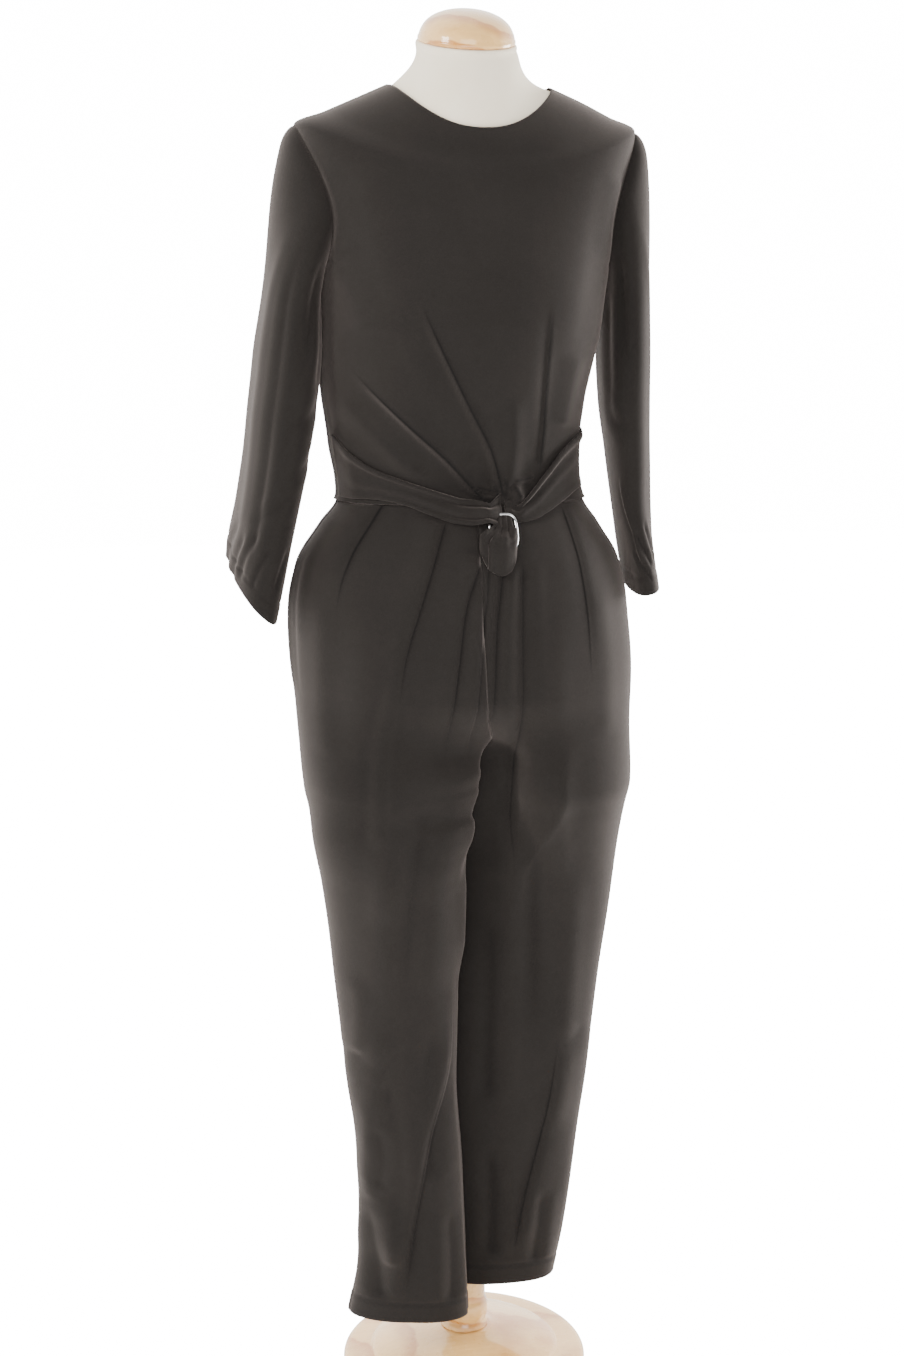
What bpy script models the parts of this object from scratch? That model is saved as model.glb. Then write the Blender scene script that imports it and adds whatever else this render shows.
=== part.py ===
"""A draped crepe jumpsuit on a limbless dress form.

Frame: metres, +Z up, the garment faces -Y, +X is the wearer's left. The origin
is the centre of the base's underside, on the floor.

The cloth panels are grids of points on one body surface, so neighbouring panels
share their seam points. Each panel is then closed as a wall of one thickness and
its seam edges are drawn back by half the seam gap.
"""
import math
from collections import namedtuple

import bmesh
import bpy
import numpy as np

# ---------------------------------------------------------------- driving sizes
WALL = 0.0015            # cloth wall
SEAM_GAP = 0.0003        # between two pieces at a seam
LAY_GAP = 0.0008         # between a panel and what lies on it
BELT_WALL = 0.0015
FORM_CLEARANCE = 0.0010  # bust to cloth over the shoulders

WAIST = 1.045            # height of the waist seam
UNDERARM = 1.285         # level of the underarm
SHOULDER_TIP = 1.445     # level of the shoulder tip
NECKLINE = 1.530         # level of the neck edge
CROTCH = 0.725
CROTCH_POINT = (-0.037, -0.030)  # beside the stand's pole, which is in the left leg
RISE_LEAN = (-0.065, -0.020)     # where the seam heads for from the rise
RISE_BLEND = 0.835       # the legs begin to part below this height
LEAN = 0.054             # the cloth before and behind the crotch hangs this far past it
LEAN_FOOT = 0.625
LEAN_REACH = 0.070
HEM_RIGHT = 0.097        # wearer's right
HEM_LEFT = 0.120

RING_SIZE = (0.033, 0.040)
RING_WIRE = 0.0016       # wire radius
RING_CENTRE = (0.0195, 1.0150)

FORM_FOOT = 0.845        # underside of the bust
POLE_RADIUS = 0.025
BASE_RADIUS = 0.145
NECK_TILT = math.radians(16.0)
NECK_CENTRE = (0.0, -0.012, 1.535)
NECK_RADIUS = 0.0545

FRONT_COLUMNS = 28       # across the bodice front; half on each trouser front
BACK_COLUMNS = 8         # across each back
ARMHOLE_OPENING = {"front": math.radians(24.0), "back": math.radians(20.0)}
LEG_POWER = 2.2          # the outer half of a leg's sections
BODY_POWER = 2.25        # how square the body's rings are; 2 is an ellipse

# One row for each ring of the body, from the crotch to the neck edge. Below the
# underarm a ring is level; above it the ring dips in front and a little behind.
Ring = namedtuple("Ring", "level z_side z_front z_back half centre y_side y_front y_back")
BODY = (
    Ring(0.725, 0.725, 0.725, 0.725, 0.188, 0.000, 0.000, -0.118, 0.112),
    Ring(0.768, 0.768, 0.768, 0.768, 0.190, 0.000, 0.000, -0.124, 0.120),
    Ring(0.815, 0.815, 0.815, 0.815, 0.193, 0.000, 0.000, -0.128, 0.126),
    Ring(0.861, 0.861, 0.861, 0.861, 0.195, -0.002, 0.000, -0.130, 0.128),
    Ring(0.929, 0.929, 0.929, 0.929, 0.192, -0.006, 0.000, -0.128, 0.123),
    Ring(0.975, 0.975, 0.975, 0.975, 0.183, -0.007, 0.000, -0.122, 0.115),
    Ring(1.019, 1.019, 1.019, 1.019, 0.157, -0.006, 0.000, -0.106, 0.102),
    Ring(1.045, 1.045, 1.045, 1.045, 0.139, -0.005, 0.000, -0.096, 0.094),
    Ring(1.070, 1.070, 1.070, 1.070, 0.136, -0.008, 0.000, -0.095, 0.094),
    Ring(1.109, 1.109, 1.109, 1.109, 0.139, -0.012, 0.000, -0.103, 0.101),
    Ring(1.153, 1.153, 1.153, 1.153, 0.1445, -0.012, 0.001, -0.113, 0.108),
    Ring(1.197, 1.197, 1.197, 1.197, 0.150, -0.009, 0.002, -0.124, 0.113),
    Ring(1.240, 1.240, 1.240, 1.240, 0.154, -0.005, 0.003, -0.131, 0.116),
    Ring(1.285, 1.285, 1.280, 1.283, 0.158, -0.002, 0.004, -0.129, 0.117),
    Ring(1.340, 1.337, 1.322, 1.335, 0.1645, 0.0015, 0.005, -0.117, 0.116),
    Ring(1.395, 1.392, 1.362, 1.385, 0.1755, 0.0035, 0.007, -0.103, 0.111),
    Ring(1.445, 1.447, 1.396, 1.430, 0.1905, 0.004, 0.010, -0.092, 0.101),
    Ring(1.475, 1.461, 1.409, 1.450, 0.156, 0.006, 0.010, -0.087, 0.091),
    Ring(1.505, 1.477, 1.426, 1.472, 0.120, 0.007, 0.008, -0.081, 0.078),
    Ring(1.530, 1.490, 1.441, 1.492, 0.089, 0.006, 0.006, -0.074, 0.062),
)

# One row for each section of a leg: its outer end, its inner end, how far the
# cloth stands in front of and behind the line between them, and how square the
# inner half is in front and behind. The stand's pole runs down in the left leg.
Leg = namedtuple("Leg", "z outer_x outer_y inner_x inner_y front back front_power back_power")
LEG_RIGHT = (
    Leg(0.835, -0.194, 0.000, -0.065, -0.020, 0.118, 0.115, 2.3, 2.2),
    Leg(0.725, -0.186, -0.006, -0.037, -0.030, 0.110, 0.104, 2.3, 1.3),
    Leg(0.700, -0.178, -0.001, -0.042, -0.040, 0.105, 0.096, 2.3, 1.2),
    Leg(0.665, -0.1665, 0.006, -0.027, -0.066, 0.097, 0.080, 2.3, 1.05),
    Leg(0.620, -0.1545, 0.010, -0.0145, -0.083, 0.086, 0.066, 2.2, 1.0),
    Leg(0.560, -0.1485, 0.009, -0.0150, -0.080, 0.074, 0.056, 2.2, 1.1),
    Leg(0.500, -0.1460, 0.005, -0.0215, -0.072, 0.064, 0.050, 2.2, 1.3),
    Leg(0.390, -0.140, -0.008, -0.022, -0.063, 0.052, 0.043, 2.2, 1.6),
    Leg(0.285, -0.129, -0.0175, -0.015, -0.0585, 0.045, 0.039, 2.2, 1.9),
    Leg(0.180, -0.129, -0.021, -0.011, -0.057, 0.039, 0.034, 2.2, 2.0),
    Leg(0.097, -0.144, -0.021, -0.008, -0.057, 0.036, 0.031, 2.2, 2.0),
)
LEG_LEFT = (
    Leg(0.835, 0.192, 0.000, -0.065, -0.020, 0.116, 0.115, 2.3, 2.2),
    Leg(0.725, 0.186, -0.006, -0.037, -0.030, 0.108, 0.104, 1.3, 2.2),
    Leg(0.700, 0.1825, -0.010, -0.033, -0.020, 0.103, 0.099, 1.2, 2.3),
    Leg(0.665, 0.178, -0.017, -0.0385, -0.006, 0.094, 0.092, 1.15, 2.3),
    Leg(0.620, 0.1715, -0.025, -0.0420, 0.009, 0.082, 0.082, 1.30, 2.3),
    Leg(0.560, 0.163, -0.031, -0.0400, 0.018, 0.070, 0.070, 1.5, 2.3),
    Leg(0.500, 0.154, -0.0325, -0.038, 0.018, 0.061, 0.061, 1.8, 2.3),
    Leg(0.390, 0.142, -0.029, -0.036, 0.014, 0.051, 0.051, 2.3, 2.3),
    Leg(0.285, 0.130, -0.024, -0.035, 0.011, 0.0445, 0.044, 2.3, 2.3),
    Leg(0.180, 0.1165, -0.023, -0.035, 0.010, 0.040, 0.039, 2.4, 2.4),
    Leg(0.112, 0.103, -0.021, -0.035, 0.009, 0.038, 0.037, 2.4, 2.4),
)
TROUSER_ROWS = (1.045, 1.033, 1.020, 1.005, 0.985, 0.960, 0.932, 0.895, 0.858, 0.820, 0.785, 0.752,
                0.725, 0.700, 0.665, 0.620, 0.560, 0.490, 0.420, 0.350, 0.280, 0.210,
                0.155, 0.0)  # the last is each leg's own hem
BODICE_ROWS = (1.045, 1.057, 1.070, 1.085, 1.103, 1.125, 1.155, 1.190, 1.225, 1.257, 1.285, 1.310,
               1.338, 1.366, 1.394, 1.421, 1.445, 1.474, 1.503, 1.530)

# One row for each section of a sleeve under its armhole. thin is its half
# thickness across the body, deep its half width front to back, turn is how far
# its back edge stands away from the body, and slope drops its inner front.
Cuff = namedtuple("Cuff", "z x y thin deep turn slope")
SLEEVE_RIGHT = (
    Cuff(1.250, -0.1930, 0.005, 0.0310, 0.0700, 1.0, 0.00),
    Cuff(1.200, -0.1975, 0.004, 0.0345, 0.0700, 3.0, 0.02),
    Cuff(1.153, -0.2030, 0.003, 0.0350, 0.0695, 4.0, 0.05),
    Cuff(1.095, -0.2115, 0.001, 0.0325, 0.0695, 4.0, 0.12),
    Cuff(1.042, -0.2220, -0.002, 0.0305, 0.0690, 4.0, 0.24),
    Cuff(0.995, -0.2330, -0.006, 0.0280, 0.0680, 4.0, 0.52),
    Cuff(0.953, -0.2415, -0.010, 0.0230, 0.0660, 4.0, 1.12),
)
SLEEVE_LEFT = (
    Cuff(1.250, 0.1830, 0.005, 0.0255, 0.0720, 6.0, 0.00),
    Cuff(1.200, 0.1835, 0.005, 0.0265, 0.0720, 7.0, 0.02),
    Cuff(1.153, 0.1845, 0.004, 0.0262, 0.0715, 8.0, 0.05),
    Cuff(1.095, 0.1885, 0.002, 0.0230, 0.0715, 10.0, 0.10),
    Cuff(1.042, 0.1925, -0.001, 0.0205, 0.0720, 12.0, 0.16),
    Cuff(0.995, 0.1980, -0.002, 0.0185, 0.0700, 9.0, 0.20),
    Cuff(0.945, 0.2055, -0.004, 0.0165, 0.0675, 7.0, 0.26),
)
SLEEVE_TOP_ROWS = 4      # between the armhole and the first section

# One row for each large fold of the fronts, seen from the front: where it starts
# and ends, its sideways bow, its half width, and its depth at each end.
Fold = namedtuple("Fold", "x0 z0 x1 z1 bow half depth0 depth1")
BODICE_FOLDS = (
    Fold(-0.074, 1.262, 0.018, 1.060, 0.006, 0.0150, 0.004, 0.011),
    Fold(-0.136, 1.190, 0.002, 1.058, 0.003, 0.0130, 0.003, 0.008),
    Fold(-0.148, 1.158, -0.060, 1.080, 0.003, 0.0120, 0.002, 0.005),
    Fold(0.071, 1.262, 0.070, 1.098, 0.000, 0.0150, 0.004, 0.005),
    Fold(0.112, 1.210, 0.040, 1.072, -0.003, 0.0130, 0.002, 0.006),
    Fold(0.030, 1.250, 0.026, 1.062, 0.002, 0.0120, 0.002, 0.006),
)
TROUSER_FOLDS = (
    Fold(-0.104, 1.040, -0.156, 0.930, 0.002, 0.0130, 0.007, 0.003),
    Fold(-0.042, 1.020, -0.094, 0.800, -0.004, 0.0150, 0.009, 0.003),
    Fold(-0.008, 0.990, -0.028, 0.830, -0.002, 0.0110, 0.007, 0.002),
    Fold(0.026, 1.006, 0.001, 0.800, -0.003, 0.0120, 0.008, 0.004),
    Fold(0.052, 1.016, 0.060, 0.820, 0.003, 0.0130, 0.008, 0.003),
    Fold(0.092, 1.026, 0.124, 0.850, 0.003, 0.0130, 0.007, 0.002),
)
LEG_FOLDS = (
    Fold(-0.088, 0.700, -0.096, 0.420, 0.004, 0.0200, 0.004, 0.005),
    Fold(-0.031, 0.430, -0.088, 0.130, -0.004, 0.0180, 0.005, 0.006),
    Fold(0.060, 0.690, 0.070, 0.430, 0.003, 0.0200, 0.004, 0.005),
    Fold(0.098, 0.430, 0.052, 0.150, 0.004, 0.0170, 0.004, 0.005),
)
BACK_FOLDS = (
    Fold(-0.070, 1.090, -0.090, 1.240, 0.004, 0.0160, 0.006, 0.002),
    Fold(0.060, 1.090, 0.078, 1.230, -0.004, 0.0160, 0.006, 0.002),
    Fold(-0.070, 1.010, -0.086, 0.820, 0.003, 0.0150, 0.006, 0.002),
    Fold(0.062, 1.010, 0.080, 0.830, -0.003, 0.0150, 0.006, 0.002),
    Fold(-0.080, 0.660, -0.086, 0.300, 0.005, 0.0190, 0.004, 0.005),
    Fold(0.076, 0.660, 0.052, 0.300, 0.005, 0.0190, 0.004, 0.005),
)

# The belt's edges across the front, from the wearer's right side seam to the
# ring and from the ring to the left side seam.
Edge = namedtuple("Edge", "x top bottom")
BELT_RIGHT_EDGES = (
    Edge(-0.150, 1.118, 1.054), Edge(-0.138, 1.104, 1.050), Edge(-0.112, 1.084, 1.051),
    Edge(-0.082, 1.071, 1.045), Edge(-0.054, 1.061, 1.033), Edge(-0.030, 1.053, 1.025),
    Edge(-0.008, 1.045, 1.023), Edge(0.006, 1.038, 1.024),
)
BELT_LEFT_EDGES = (
    Edge(0.0335, 1.036, 1.024), Edge(0.042, 1.044, 1.025), Edge(0.056, 1.060, 1.027),
    Edge(0.073, 1.081, 1.034), Edge(0.092, 1.104, 1.045), Edge(0.112, 1.118, 1.056),
    Edge(0.132, 1.124, 1.061),
)
TAIL_EDGES = (Edge(0.0035, 1.0120, 0.9800), Edge(0.0125, 1.0140, 0.9735),
              Edge(0.0220, 1.0140, 0.9740), Edge(0.0315, 1.0120, 0.9860))

# One row for each ring of the bust below the shoulders.
Bust = namedtuple("Bust", "z half centre y_front y_back")
BUST = (
    Bust(0.845, 0.150, 0.000, -0.092, 0.096),
    Bust(0.860, 0.156, 0.000, -0.098, 0.102),
    Bust(0.900, 0.158, -0.001, -0.099, 0.106),
    Bust(0.960, 0.145, -0.003, -0.088, 0.096),
    Bust(1.020, 0.121, -0.004, -0.074, 0.082),
    Bust(1.060, 0.113, -0.005, -0.071, 0.077),
    Bust(1.110, 0.117, -0.006, -0.080, 0.083),
    Bust(1.160, 0.125, -0.006, -0.094, 0.089),
    Bust(1.210, 0.134, -0.005, -0.112, 0.094),
    Bust(1.255, 0.141, -0.003, -0.119, 0.099),
    Bust(1.300, 0.149, -0.001, -0.115, 0.104),
)
NECK_RINGS = (
    Ring(1.550, 1.4985, 1.4560, 1.5050, 0.0700, 0.0, 0.001, -0.0715, 0.0520),
    Ring(1.570, 1.5120, 1.4800, 1.5230, 0.0585, 0.0, -0.010, -0.0685, 0.0440),
)
FORM_COLUMNS = 36

MATERIALS = {
    "crepe": ((0.042, 0.036, 0.032, 1.0), 0.85, 0.0),
    "jersey": ((0.90, 0.84, 0.75, 1.0), 0.90, 0.0),
    "wood": ((0.80, 0.52, 0.24, 1.0), 0.25, 0.0),
    "metal": ((0.80, 0.80, 0.80, 1.0), 0.15, 1.0),
}


# ---------------------------------------------------------------- small helpers
def smooth(rows, key, field, at):
    """Read one named column of a table along another as a smooth curve."""
    xs = [getattr(row, key) for row in rows]
    ys = [getattr(row, field) for row in rows]
    if xs[0] > xs[-1]:
        xs, ys = xs[::-1], ys[::-1]
    at = min(max(at, xs[0]), xs[-1])
    i = max(0, min(len(xs) - 2, next((k for k in range(len(xs) - 1) if at <= xs[k + 1]), 0)))
    slopes = [(ys[k + 1] - ys[k]) / (xs[k + 1] - xs[k]) for k in range(len(xs) - 1)]

    def tangent(k):
        if k == 0:
            return slopes[0]
        if k == len(xs) - 1:
            return slopes[-1]
        if slopes[k - 1] * slopes[k] <= 0.0:
            return 0.0
        return 2.0 * slopes[k - 1] * slopes[k] / (slopes[k - 1] + slopes[k])

    span = xs[i + 1] - xs[i]
    t = (at - xs[i]) / span
    return ((2 * t ** 3 - 3 * t ** 2 + 1) * ys[i] + (t ** 3 - 2 * t ** 2 + t) * span * tangent(i)
            + (3 * t ** 2 - 2 * t ** 3) * ys[i + 1] + (t ** 3 - t ** 2) * span * tangent(i + 1))


def ease(t):
    """Smooth step from 0 to 1."""
    t = min(max(t, 0.0), 1.0)
    return t * t * (3.0 - 2.0 * t)


def power(value, exponent):
    """A signed power, for superellipses."""
    return math.copysign(abs(value) ** exponent, value)


def body(alpha, level, face):
    """A point of the body: alpha is 0 at the wearer's right side, pi at the left."""
    ring = {f: smooth(BODY, "level", f, level) for f in Ring._fields[1:]}
    across, out = -power(math.cos(alpha), 2 / BODY_POWER), math.sin(alpha) ** (2 / BODY_POWER)
    far = ring["y_front"] if face == "front" else ring["y_back"]
    far_z = ring["z_front"] if face == "front" else ring["z_back"]
    return np.array((ring["centre"] + ring["half"] * across,
                     ring["y_side"] + (far - ring["y_side"]) * out,
                     ring["z_side"] + (far_z - ring["z_side"]) * math.sin(alpha) ** 2))


def body_alpha(x, level):
    """The alpha at which the body has this x."""
    half, centre = smooth(BODY, "level", "half", level), smooth(BODY, "level", "centre", level)
    share = min(max((centre - x) / half, -1.0), 1.0)
    return math.acos(power(share, BODY_POWER / 2))


def armhole_limit(level, face):
    """How far the armhole cuts into a panel at this level, as an angle."""
    q = (level - UNDERARM) / (SHOULDER_TIP - UNDERARM)
    if q <= 0.0 or q >= 1.0:
        return 0.0
    return ARMHOLE_OPENING[face] * math.sin(math.pi * q) ** 0.65


def leg(table, phi, z, face):
    """A point of a leg: phi is 0 at its outer end and pi at its inner end."""
    row = {f: smooth(table, "z", f, z) for f in Leg._fields[1:]}
    outer = np.array((row["outer_x"], row["outer_y"]))
    inner = np.array((row["inner_x"], row["inner_y"]))
    if z > CROTCH:  # the two legs share one seam above the crotch
        share = (z - CROTCH) / (RISE_BLEND - CROTCH)
        inner = np.array(CROTCH_POINT) * (1.0 - share) + np.array(RISE_LEAN) * share
    arm = (outer - inner) / 2
    ahead = np.array((arm[1], -arm[0]) if arm[0] > 0 else (-arm[1], arm[0]))
    ahead = ahead / np.linalg.norm(ahead)
    depth = row["front"] if face == "front" else -row["back"]
    square = LEG_POWER if math.cos(phi) > 0.0 else row[face + "_power"]
    p = ((outer + inner) / 2 + arm * power(math.cos(phi), 2 / square)
         + ahead * depth * max(math.sin(phi), 0.0) ** (2 / square))
    return np.array((p[0], p[1], z))


def lean(x, y, z):
    """How far the cloth before and behind the crotch hangs to the left of it."""
    share = LEAN * ease((RISE_BLEND - z) / 0.08) * ease((z - LEAN_FOOT) / 0.09)
    apart = ease((-0.042 - y) / 0.040) + ease((y - 0.030) / 0.045)
    return share * apart * math.exp(-((x + 0.030) / LEAN_REACH) ** 2)


def belt_band(x):
    """The heights between which belt, ring or tail covers the fronts at this x."""
    if x <= BELT_RIGHT_EDGES[-1].x:
        rows = BELT_RIGHT_EDGES
    elif x >= BELT_LEFT_EDGES[0].x:
        rows = BELT_LEFT_EDGES
    else:
        return RING_CENTRE[1] + RING_SIZE[1] / 2 + 0.003, TAIL_EDGES[1].bottom
    top, bottom = smooth(rows, "x", "top", x), smooth(rows, "x", "bottom", x)
    near_ring = min(abs(x - RING_CENTRE[0]) / 0.030, 1.0)
    return top, bottom + (TAIL_EDGES[1].bottom - bottom) * (1.0 - ease(near_ring))


def fold_depth(folds, x, z):
    """How far a surface stands out (or in, when negative) at this x and height."""
    total = 0.0
    for fold in folds:
        run = np.array((fold.x1 - fold.x0, fold.z1 - fold.z0))
        length = np.linalg.norm(run)
        run = run / length
        offset = np.array((x - fold.x0, z - fold.z0))
        q = float(offset @ run) / length
        if q < -0.05 or q > 1.05:
            continue
        q = min(max(q, 0.0), 1.0)
        side = float(offset @ np.array((-run[1], run[0]))) - fold.bow * 4 * q * (1 - q)
        e = side / fold.half
        shape = -math.exp(-e * e) + 0.4 * (math.exp(-(e - 1.8) ** 2) + math.exp(-(e + 1.8) ** 2))
        total += shape * (fold.depth0 + (fold.depth1 - fold.depth0) * q) * ease(q / 0.2) * ease((1 - q) / 0.2)
    return total


def clear_of_belt(x, z):
    """0 under the belt and the ring, 1 away from them."""
    top, bottom = belt_band(x)
    return ease(max(z - top - 0.005, bottom - 0.005 - z, 0.0) / 0.016)


# ---------------------------------------------------------------- cloth panels
class Panel:
    """One piece of cloth: a grid of outer points, rows by columns."""

    def __init__(self, name, grid, seams, outward, round_tube=False):
        self.name, self.grid, self.seams = name, np.array(grid, dtype=float), seams
        self.outward, self.round_tube = outward, round_tube
        self.normals = None

    def find_normals(self):
        g = self.grid
        down = np.empty_like(g)
        down[1:-1], down[0], down[-1] = g[2:] - g[:-2], g[1] - g[0], g[-1] - g[-2]
        along = np.empty_like(g)
        if self.round_tube:
            along[:] = np.roll(g, -1, axis=1) - np.roll(g, 1, axis=1)
        else:
            along[:, 1:-1] = g[:, 2:] - g[:, :-2]
            along[:, 0], along[:, -1] = g[:, 1] - g[:, 0], g[:, -1] - g[:, -2]
        n = np.cross(along, down) * self.outward
        self.normals = n / np.maximum(np.linalg.norm(n, axis=2, keepdims=True), 1e-12)

    def rim(self):
        rows, cols = self.grid.shape[:2]
        for i in range(rows):
            for j in range(cols):
                if i in (0, rows - 1) or (not self.round_tube and j in (0, cols - 1)):
                    yield i, j


def weld_normals(panels):
    """Give the points that panels share at a seam one common direction."""
    shared = {}
    for panel in panels:
        panel.find_normals()
        for i, j in panel.rim():
            key = tuple(np.round(panel.grid[i, j] * 2e4).astype(int))
            shared.setdefault(key, []).append((panel, i, j))
    for places in shared.values():
        kinds = {}
        for p, i, j in places:
            kind = p.name.split("_")[0]
            kinds[kind] = kinds.get(kind, 0) + p.normals[i, j]
        mean = sum(total / np.linalg.norm(total) for total in kinds.values())
        size = np.linalg.norm(mean)
        if size > 1e-6:
            for p, i, j in places:
                p.normals[i, j] = mean / size


def push_out(panel, amount):
    """Move a panel's points along their normals by amount(row, column, point)."""
    rows, cols = panel.grid.shape[:2]
    for i in range(rows):
        for j in range(cols):
            panel.grid[i, j] += panel.normals[i, j] * amount(i, j, panel.grid[i, j])


def draw_back_seams(panel, gap):
    """Draw the seam edges back into the panel by half the seam gap."""
    g, n = panel.grid, panel.normals
    shift = np.zeros_like(g)
    steps = {"first_row": (np.s_[0, :], g[1] - g[0]), "last_row": (np.s_[-1, :], g[-2] - g[-1]),
             "first_column": (np.s_[:, 0], g[:, 1] - g[:, 0]),
             "last_column": (np.s_[:, -1], g[:, -2] - g[:, -1])}
    for name in panel.seams:
        where, step = steps[name]
        edge = g[where]
        if panel.round_tube:
            run = np.roll(edge, -1, axis=0) - np.roll(edge, 1, axis=0)
        else:
            run = np.gradient(edge, axis=0)
        across = np.cross(n[where], run)
        across = across / np.maximum(np.linalg.norm(across, axis=1, keepdims=True), 1e-12)
        shift[where] += across * np.sign(np.sum(across * step, axis=1, keepdims=True))
    panel.grid = g + shift * gap / 2


def build_wall(panel, wall, material, collection):
    """Close a panel as one solid wall between its outer and inner points."""
    outer, inner = panel.grid, panel.grid - panel.normals * wall
    rows, cols = outer.shape[:2]
    mesh = bmesh.new()
    skins = [[[mesh.verts.new(p) for p in row] for row in skin] for skin in (outer, inner)]
    last = cols if panel.round_tube else cols - 1
    for skin in skins:
        for i in range(rows - 1):
            for j in range(last):
                k = (j + 1) % cols
                mesh.faces.new((skin[i][j], skin[i][k], skin[i + 1][k], skin[i + 1][j]))
    edges = [[(i, j) for j in range(cols)] + ([(i, 0)] if panel.round_tube else []) for i in (0, rows - 1)]
    if not panel.round_tube:
        edges += [[(i, j) for i in range(rows)] for j in (0, cols - 1)]
    for edge in edges:
        for (i, j), (k, m) in zip(edge, edge[1:]):
            mesh.faces.new((skins[0][i][j], skins[0][k][m], skins[1][k][m], skins[1][i][j]))
    bmesh.ops.recalc_face_normals(mesh, faces=mesh.faces)
    add_object(panel.name, mesh, material, collection)


def add_object(name, mesh, material, collection):
    """Turn a bmesh into a named, smooth shaded object."""
    data = bpy.data.meshes.new(name)
    mesh.to_mesh(data)
    mesh.free()
    data.shade_smooth()
    data.set_sharp_from_angle(angle=math.radians(40))
    data.materials.append(material)
    obj = bpy.data.objects.new(name, data)
    collection.objects.link(obj)
    return obj


def bodice_panels():
    """The bodice front and the two backs."""
    def row(level, face, start, end, count):
        limit = armhole_limit(level, face)
        first = limit if start == 0.0 else start
        last = math.pi - limit if end == math.pi else end
        return [body(first + (last - first) * j / count, level, face) for j in range(count + 1)]

    half = math.pi / 2
    sides = ["first_row", "first_column", "last_column"]
    front = Panel("bodice_front", [row(v, "front", 0.0, math.pi, FRONT_COLUMNS) for v in BODICE_ROWS],
                  sides, 1)
    right = Panel("bodice_back_right", [row(v, "back", 0.0, half, BACK_COLUMNS) for v in BODICE_ROWS],
                  sides, -1)
    left = Panel("bodice_back_left", [row(v, "back", half, math.pi, BACK_COLUMNS) for v in BODICE_ROWS],
                 sides, -1)
    return front, right, left


def trouser_panels():
    """The two trouser fronts and the two backs."""
    panels = []
    for side, table, hem in (("right", LEG_RIGHT, HEM_RIGHT), ("left", LEG_LEFT, HEM_LEFT)):
        heights = TROUSER_ROWS[:-1] + (hem,)
        for face, count in (("front", FRONT_COLUMNS // 2), ("back", BACK_COLUMNS)):
            grid = []
            for z in heights:
                blend = ease((RISE_BLEND - z) / (RISE_BLEND - CROTCH))
                row = []
                for j in range(count + 1):
                    u = j / count
                    alpha = u * math.pi / 2 if side == "right" else math.pi - u * math.pi / 2
                    hip = body(alpha, max(z, BODY[0].level), face)
                    low = leg(table, u * math.pi, min(z, table[0].z), face)
                    p = hip * (1.0 - blend) + low * blend
                    row.append((p[0] + lean(p[0], p[1], z), p[1], z))
                grid.append(row)
            outward = (-1 if side == "right" else 1) * (1 if face == "front" else -1)
            panels.append(Panel(f"trouser_{face}_{side}", grid,
                                ["first_row", "first_column", "last_column"], outward))
    return panels


def sleeve_panel(side, table, front, back):
    """A sleeve: its top is the armhole's own points, its sections come from a table."""
    first, last = BODICE_ROWS.index(UNDERARM), BODICE_ROWS.index(SHOULDER_TIP)
    column = 0 if side == "right" else -1
    loop = [front.grid[i, column] for i in range(first, last + 1)]
    loop += [back.grid[i, column] for i in range(last - 1, first, -1)]
    count = len(loop)
    away = -1.0 if side == "right" else 1.0

    def section(row, k):
        psi = 2 * math.pi * k / count
        turn = math.radians(row["turn"])
        out, ahead = -math.cos(psi) * row["thin"], math.sin(psi) * row["deep"]
        x = row["x"] + away * (out * math.cos(turn) - ahead * math.sin(turn))
        y = row["y"] - ahead * math.cos(turn) - out * math.sin(turn)
        z = row["z"] + row["slope"] * (0.8 * out - 0.35 * ahead)
        return np.array((x, y, z))

    rows = [{f: getattr(r, f) for f in Cuff._fields} for r in table]
    grid = [loop]
    for step in range(1, SLEEVE_TOP_ROWS):
        t = step / SLEEVE_TOP_ROWS
        ring = []
        for k in range(count):
            psi = 2 * math.pi * k / count
            start, end = loop[k], section(rows[0], k)
            top = (1 - math.cos(psi)) / 2
            reach = np.linalg.norm(end - start)
            leave = np.array((away * (0.35 + 0.08 * top), -0.25 * math.sin(psi), -1.0))
            arrive = section(rows[1], k) - section(rows[0], k)
            leave = leave / np.linalg.norm(leave) * reach * (1.0 - 0.4 * top)
            arrive = arrive / np.linalg.norm(arrive) * reach
            ring.append((2 * t ** 3 - 3 * t ** 2 + 1) * start + (t ** 3 - 2 * t ** 2 + t) * leave
                        + (3 * t ** 2 - 2 * t ** 3) * end + (t ** 3 - t ** 2) * arrive)
        grid.append(ring)
    grid += [[section(r, k) for k in range(count)] for r in rows]
    return Panel(f"sleeve_{side}", grid, ["first_row"], 1 if side == "right" else -1, round_tube=True)


def drape(panels):
    """Push the large folds into the panels, fading out at the seams' ends."""
    def side_fade(j, cols, face, name):
        u = j / (cols - 1)
        if name == "bodice_front":
            return ease(min(u, 1 - u) / 0.10)
        if "front" in name:
            return ease(u / 0.15)
        inner = 1 - u if name == "bodice_back_left" else u
        return ease(inner / 0.2) * ease((1 - inner) / 0.2)

    for panel in panels:
        if panel.round_tube:
            continue
        face = "front" if "front" in panel.name else "back"
        rows, cols = panel.grid.shape[:2]

        def amount(i, j, p):
            fade = side_fade(j, cols, face, panel.name)
            if face == "back":
                return fade * fold_depth(BACK_FOLDS, p[0], p[2]) * ease(abs(p[2] - WAIST) / 0.03)
            if panel.name == "bodice_front":
                top = ease((NECKLINE - BODICE_ROWS[i]) / 0.06)
                return fade * top * fold_depth(BODICE_FOLDS, p[0], p[2]) * clear_of_belt(p[0], p[2])
            legs = fold_depth(LEG_FOLDS, p[0], p[2]) * ease((1 - j / (cols - 1)) / 0.15)
            return fade * (legs + fold_depth(TROUSER_FOLDS, p[0], p[2]) * clear_of_belt(p[0], p[2]))

        push_out(panel, amount)


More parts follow.
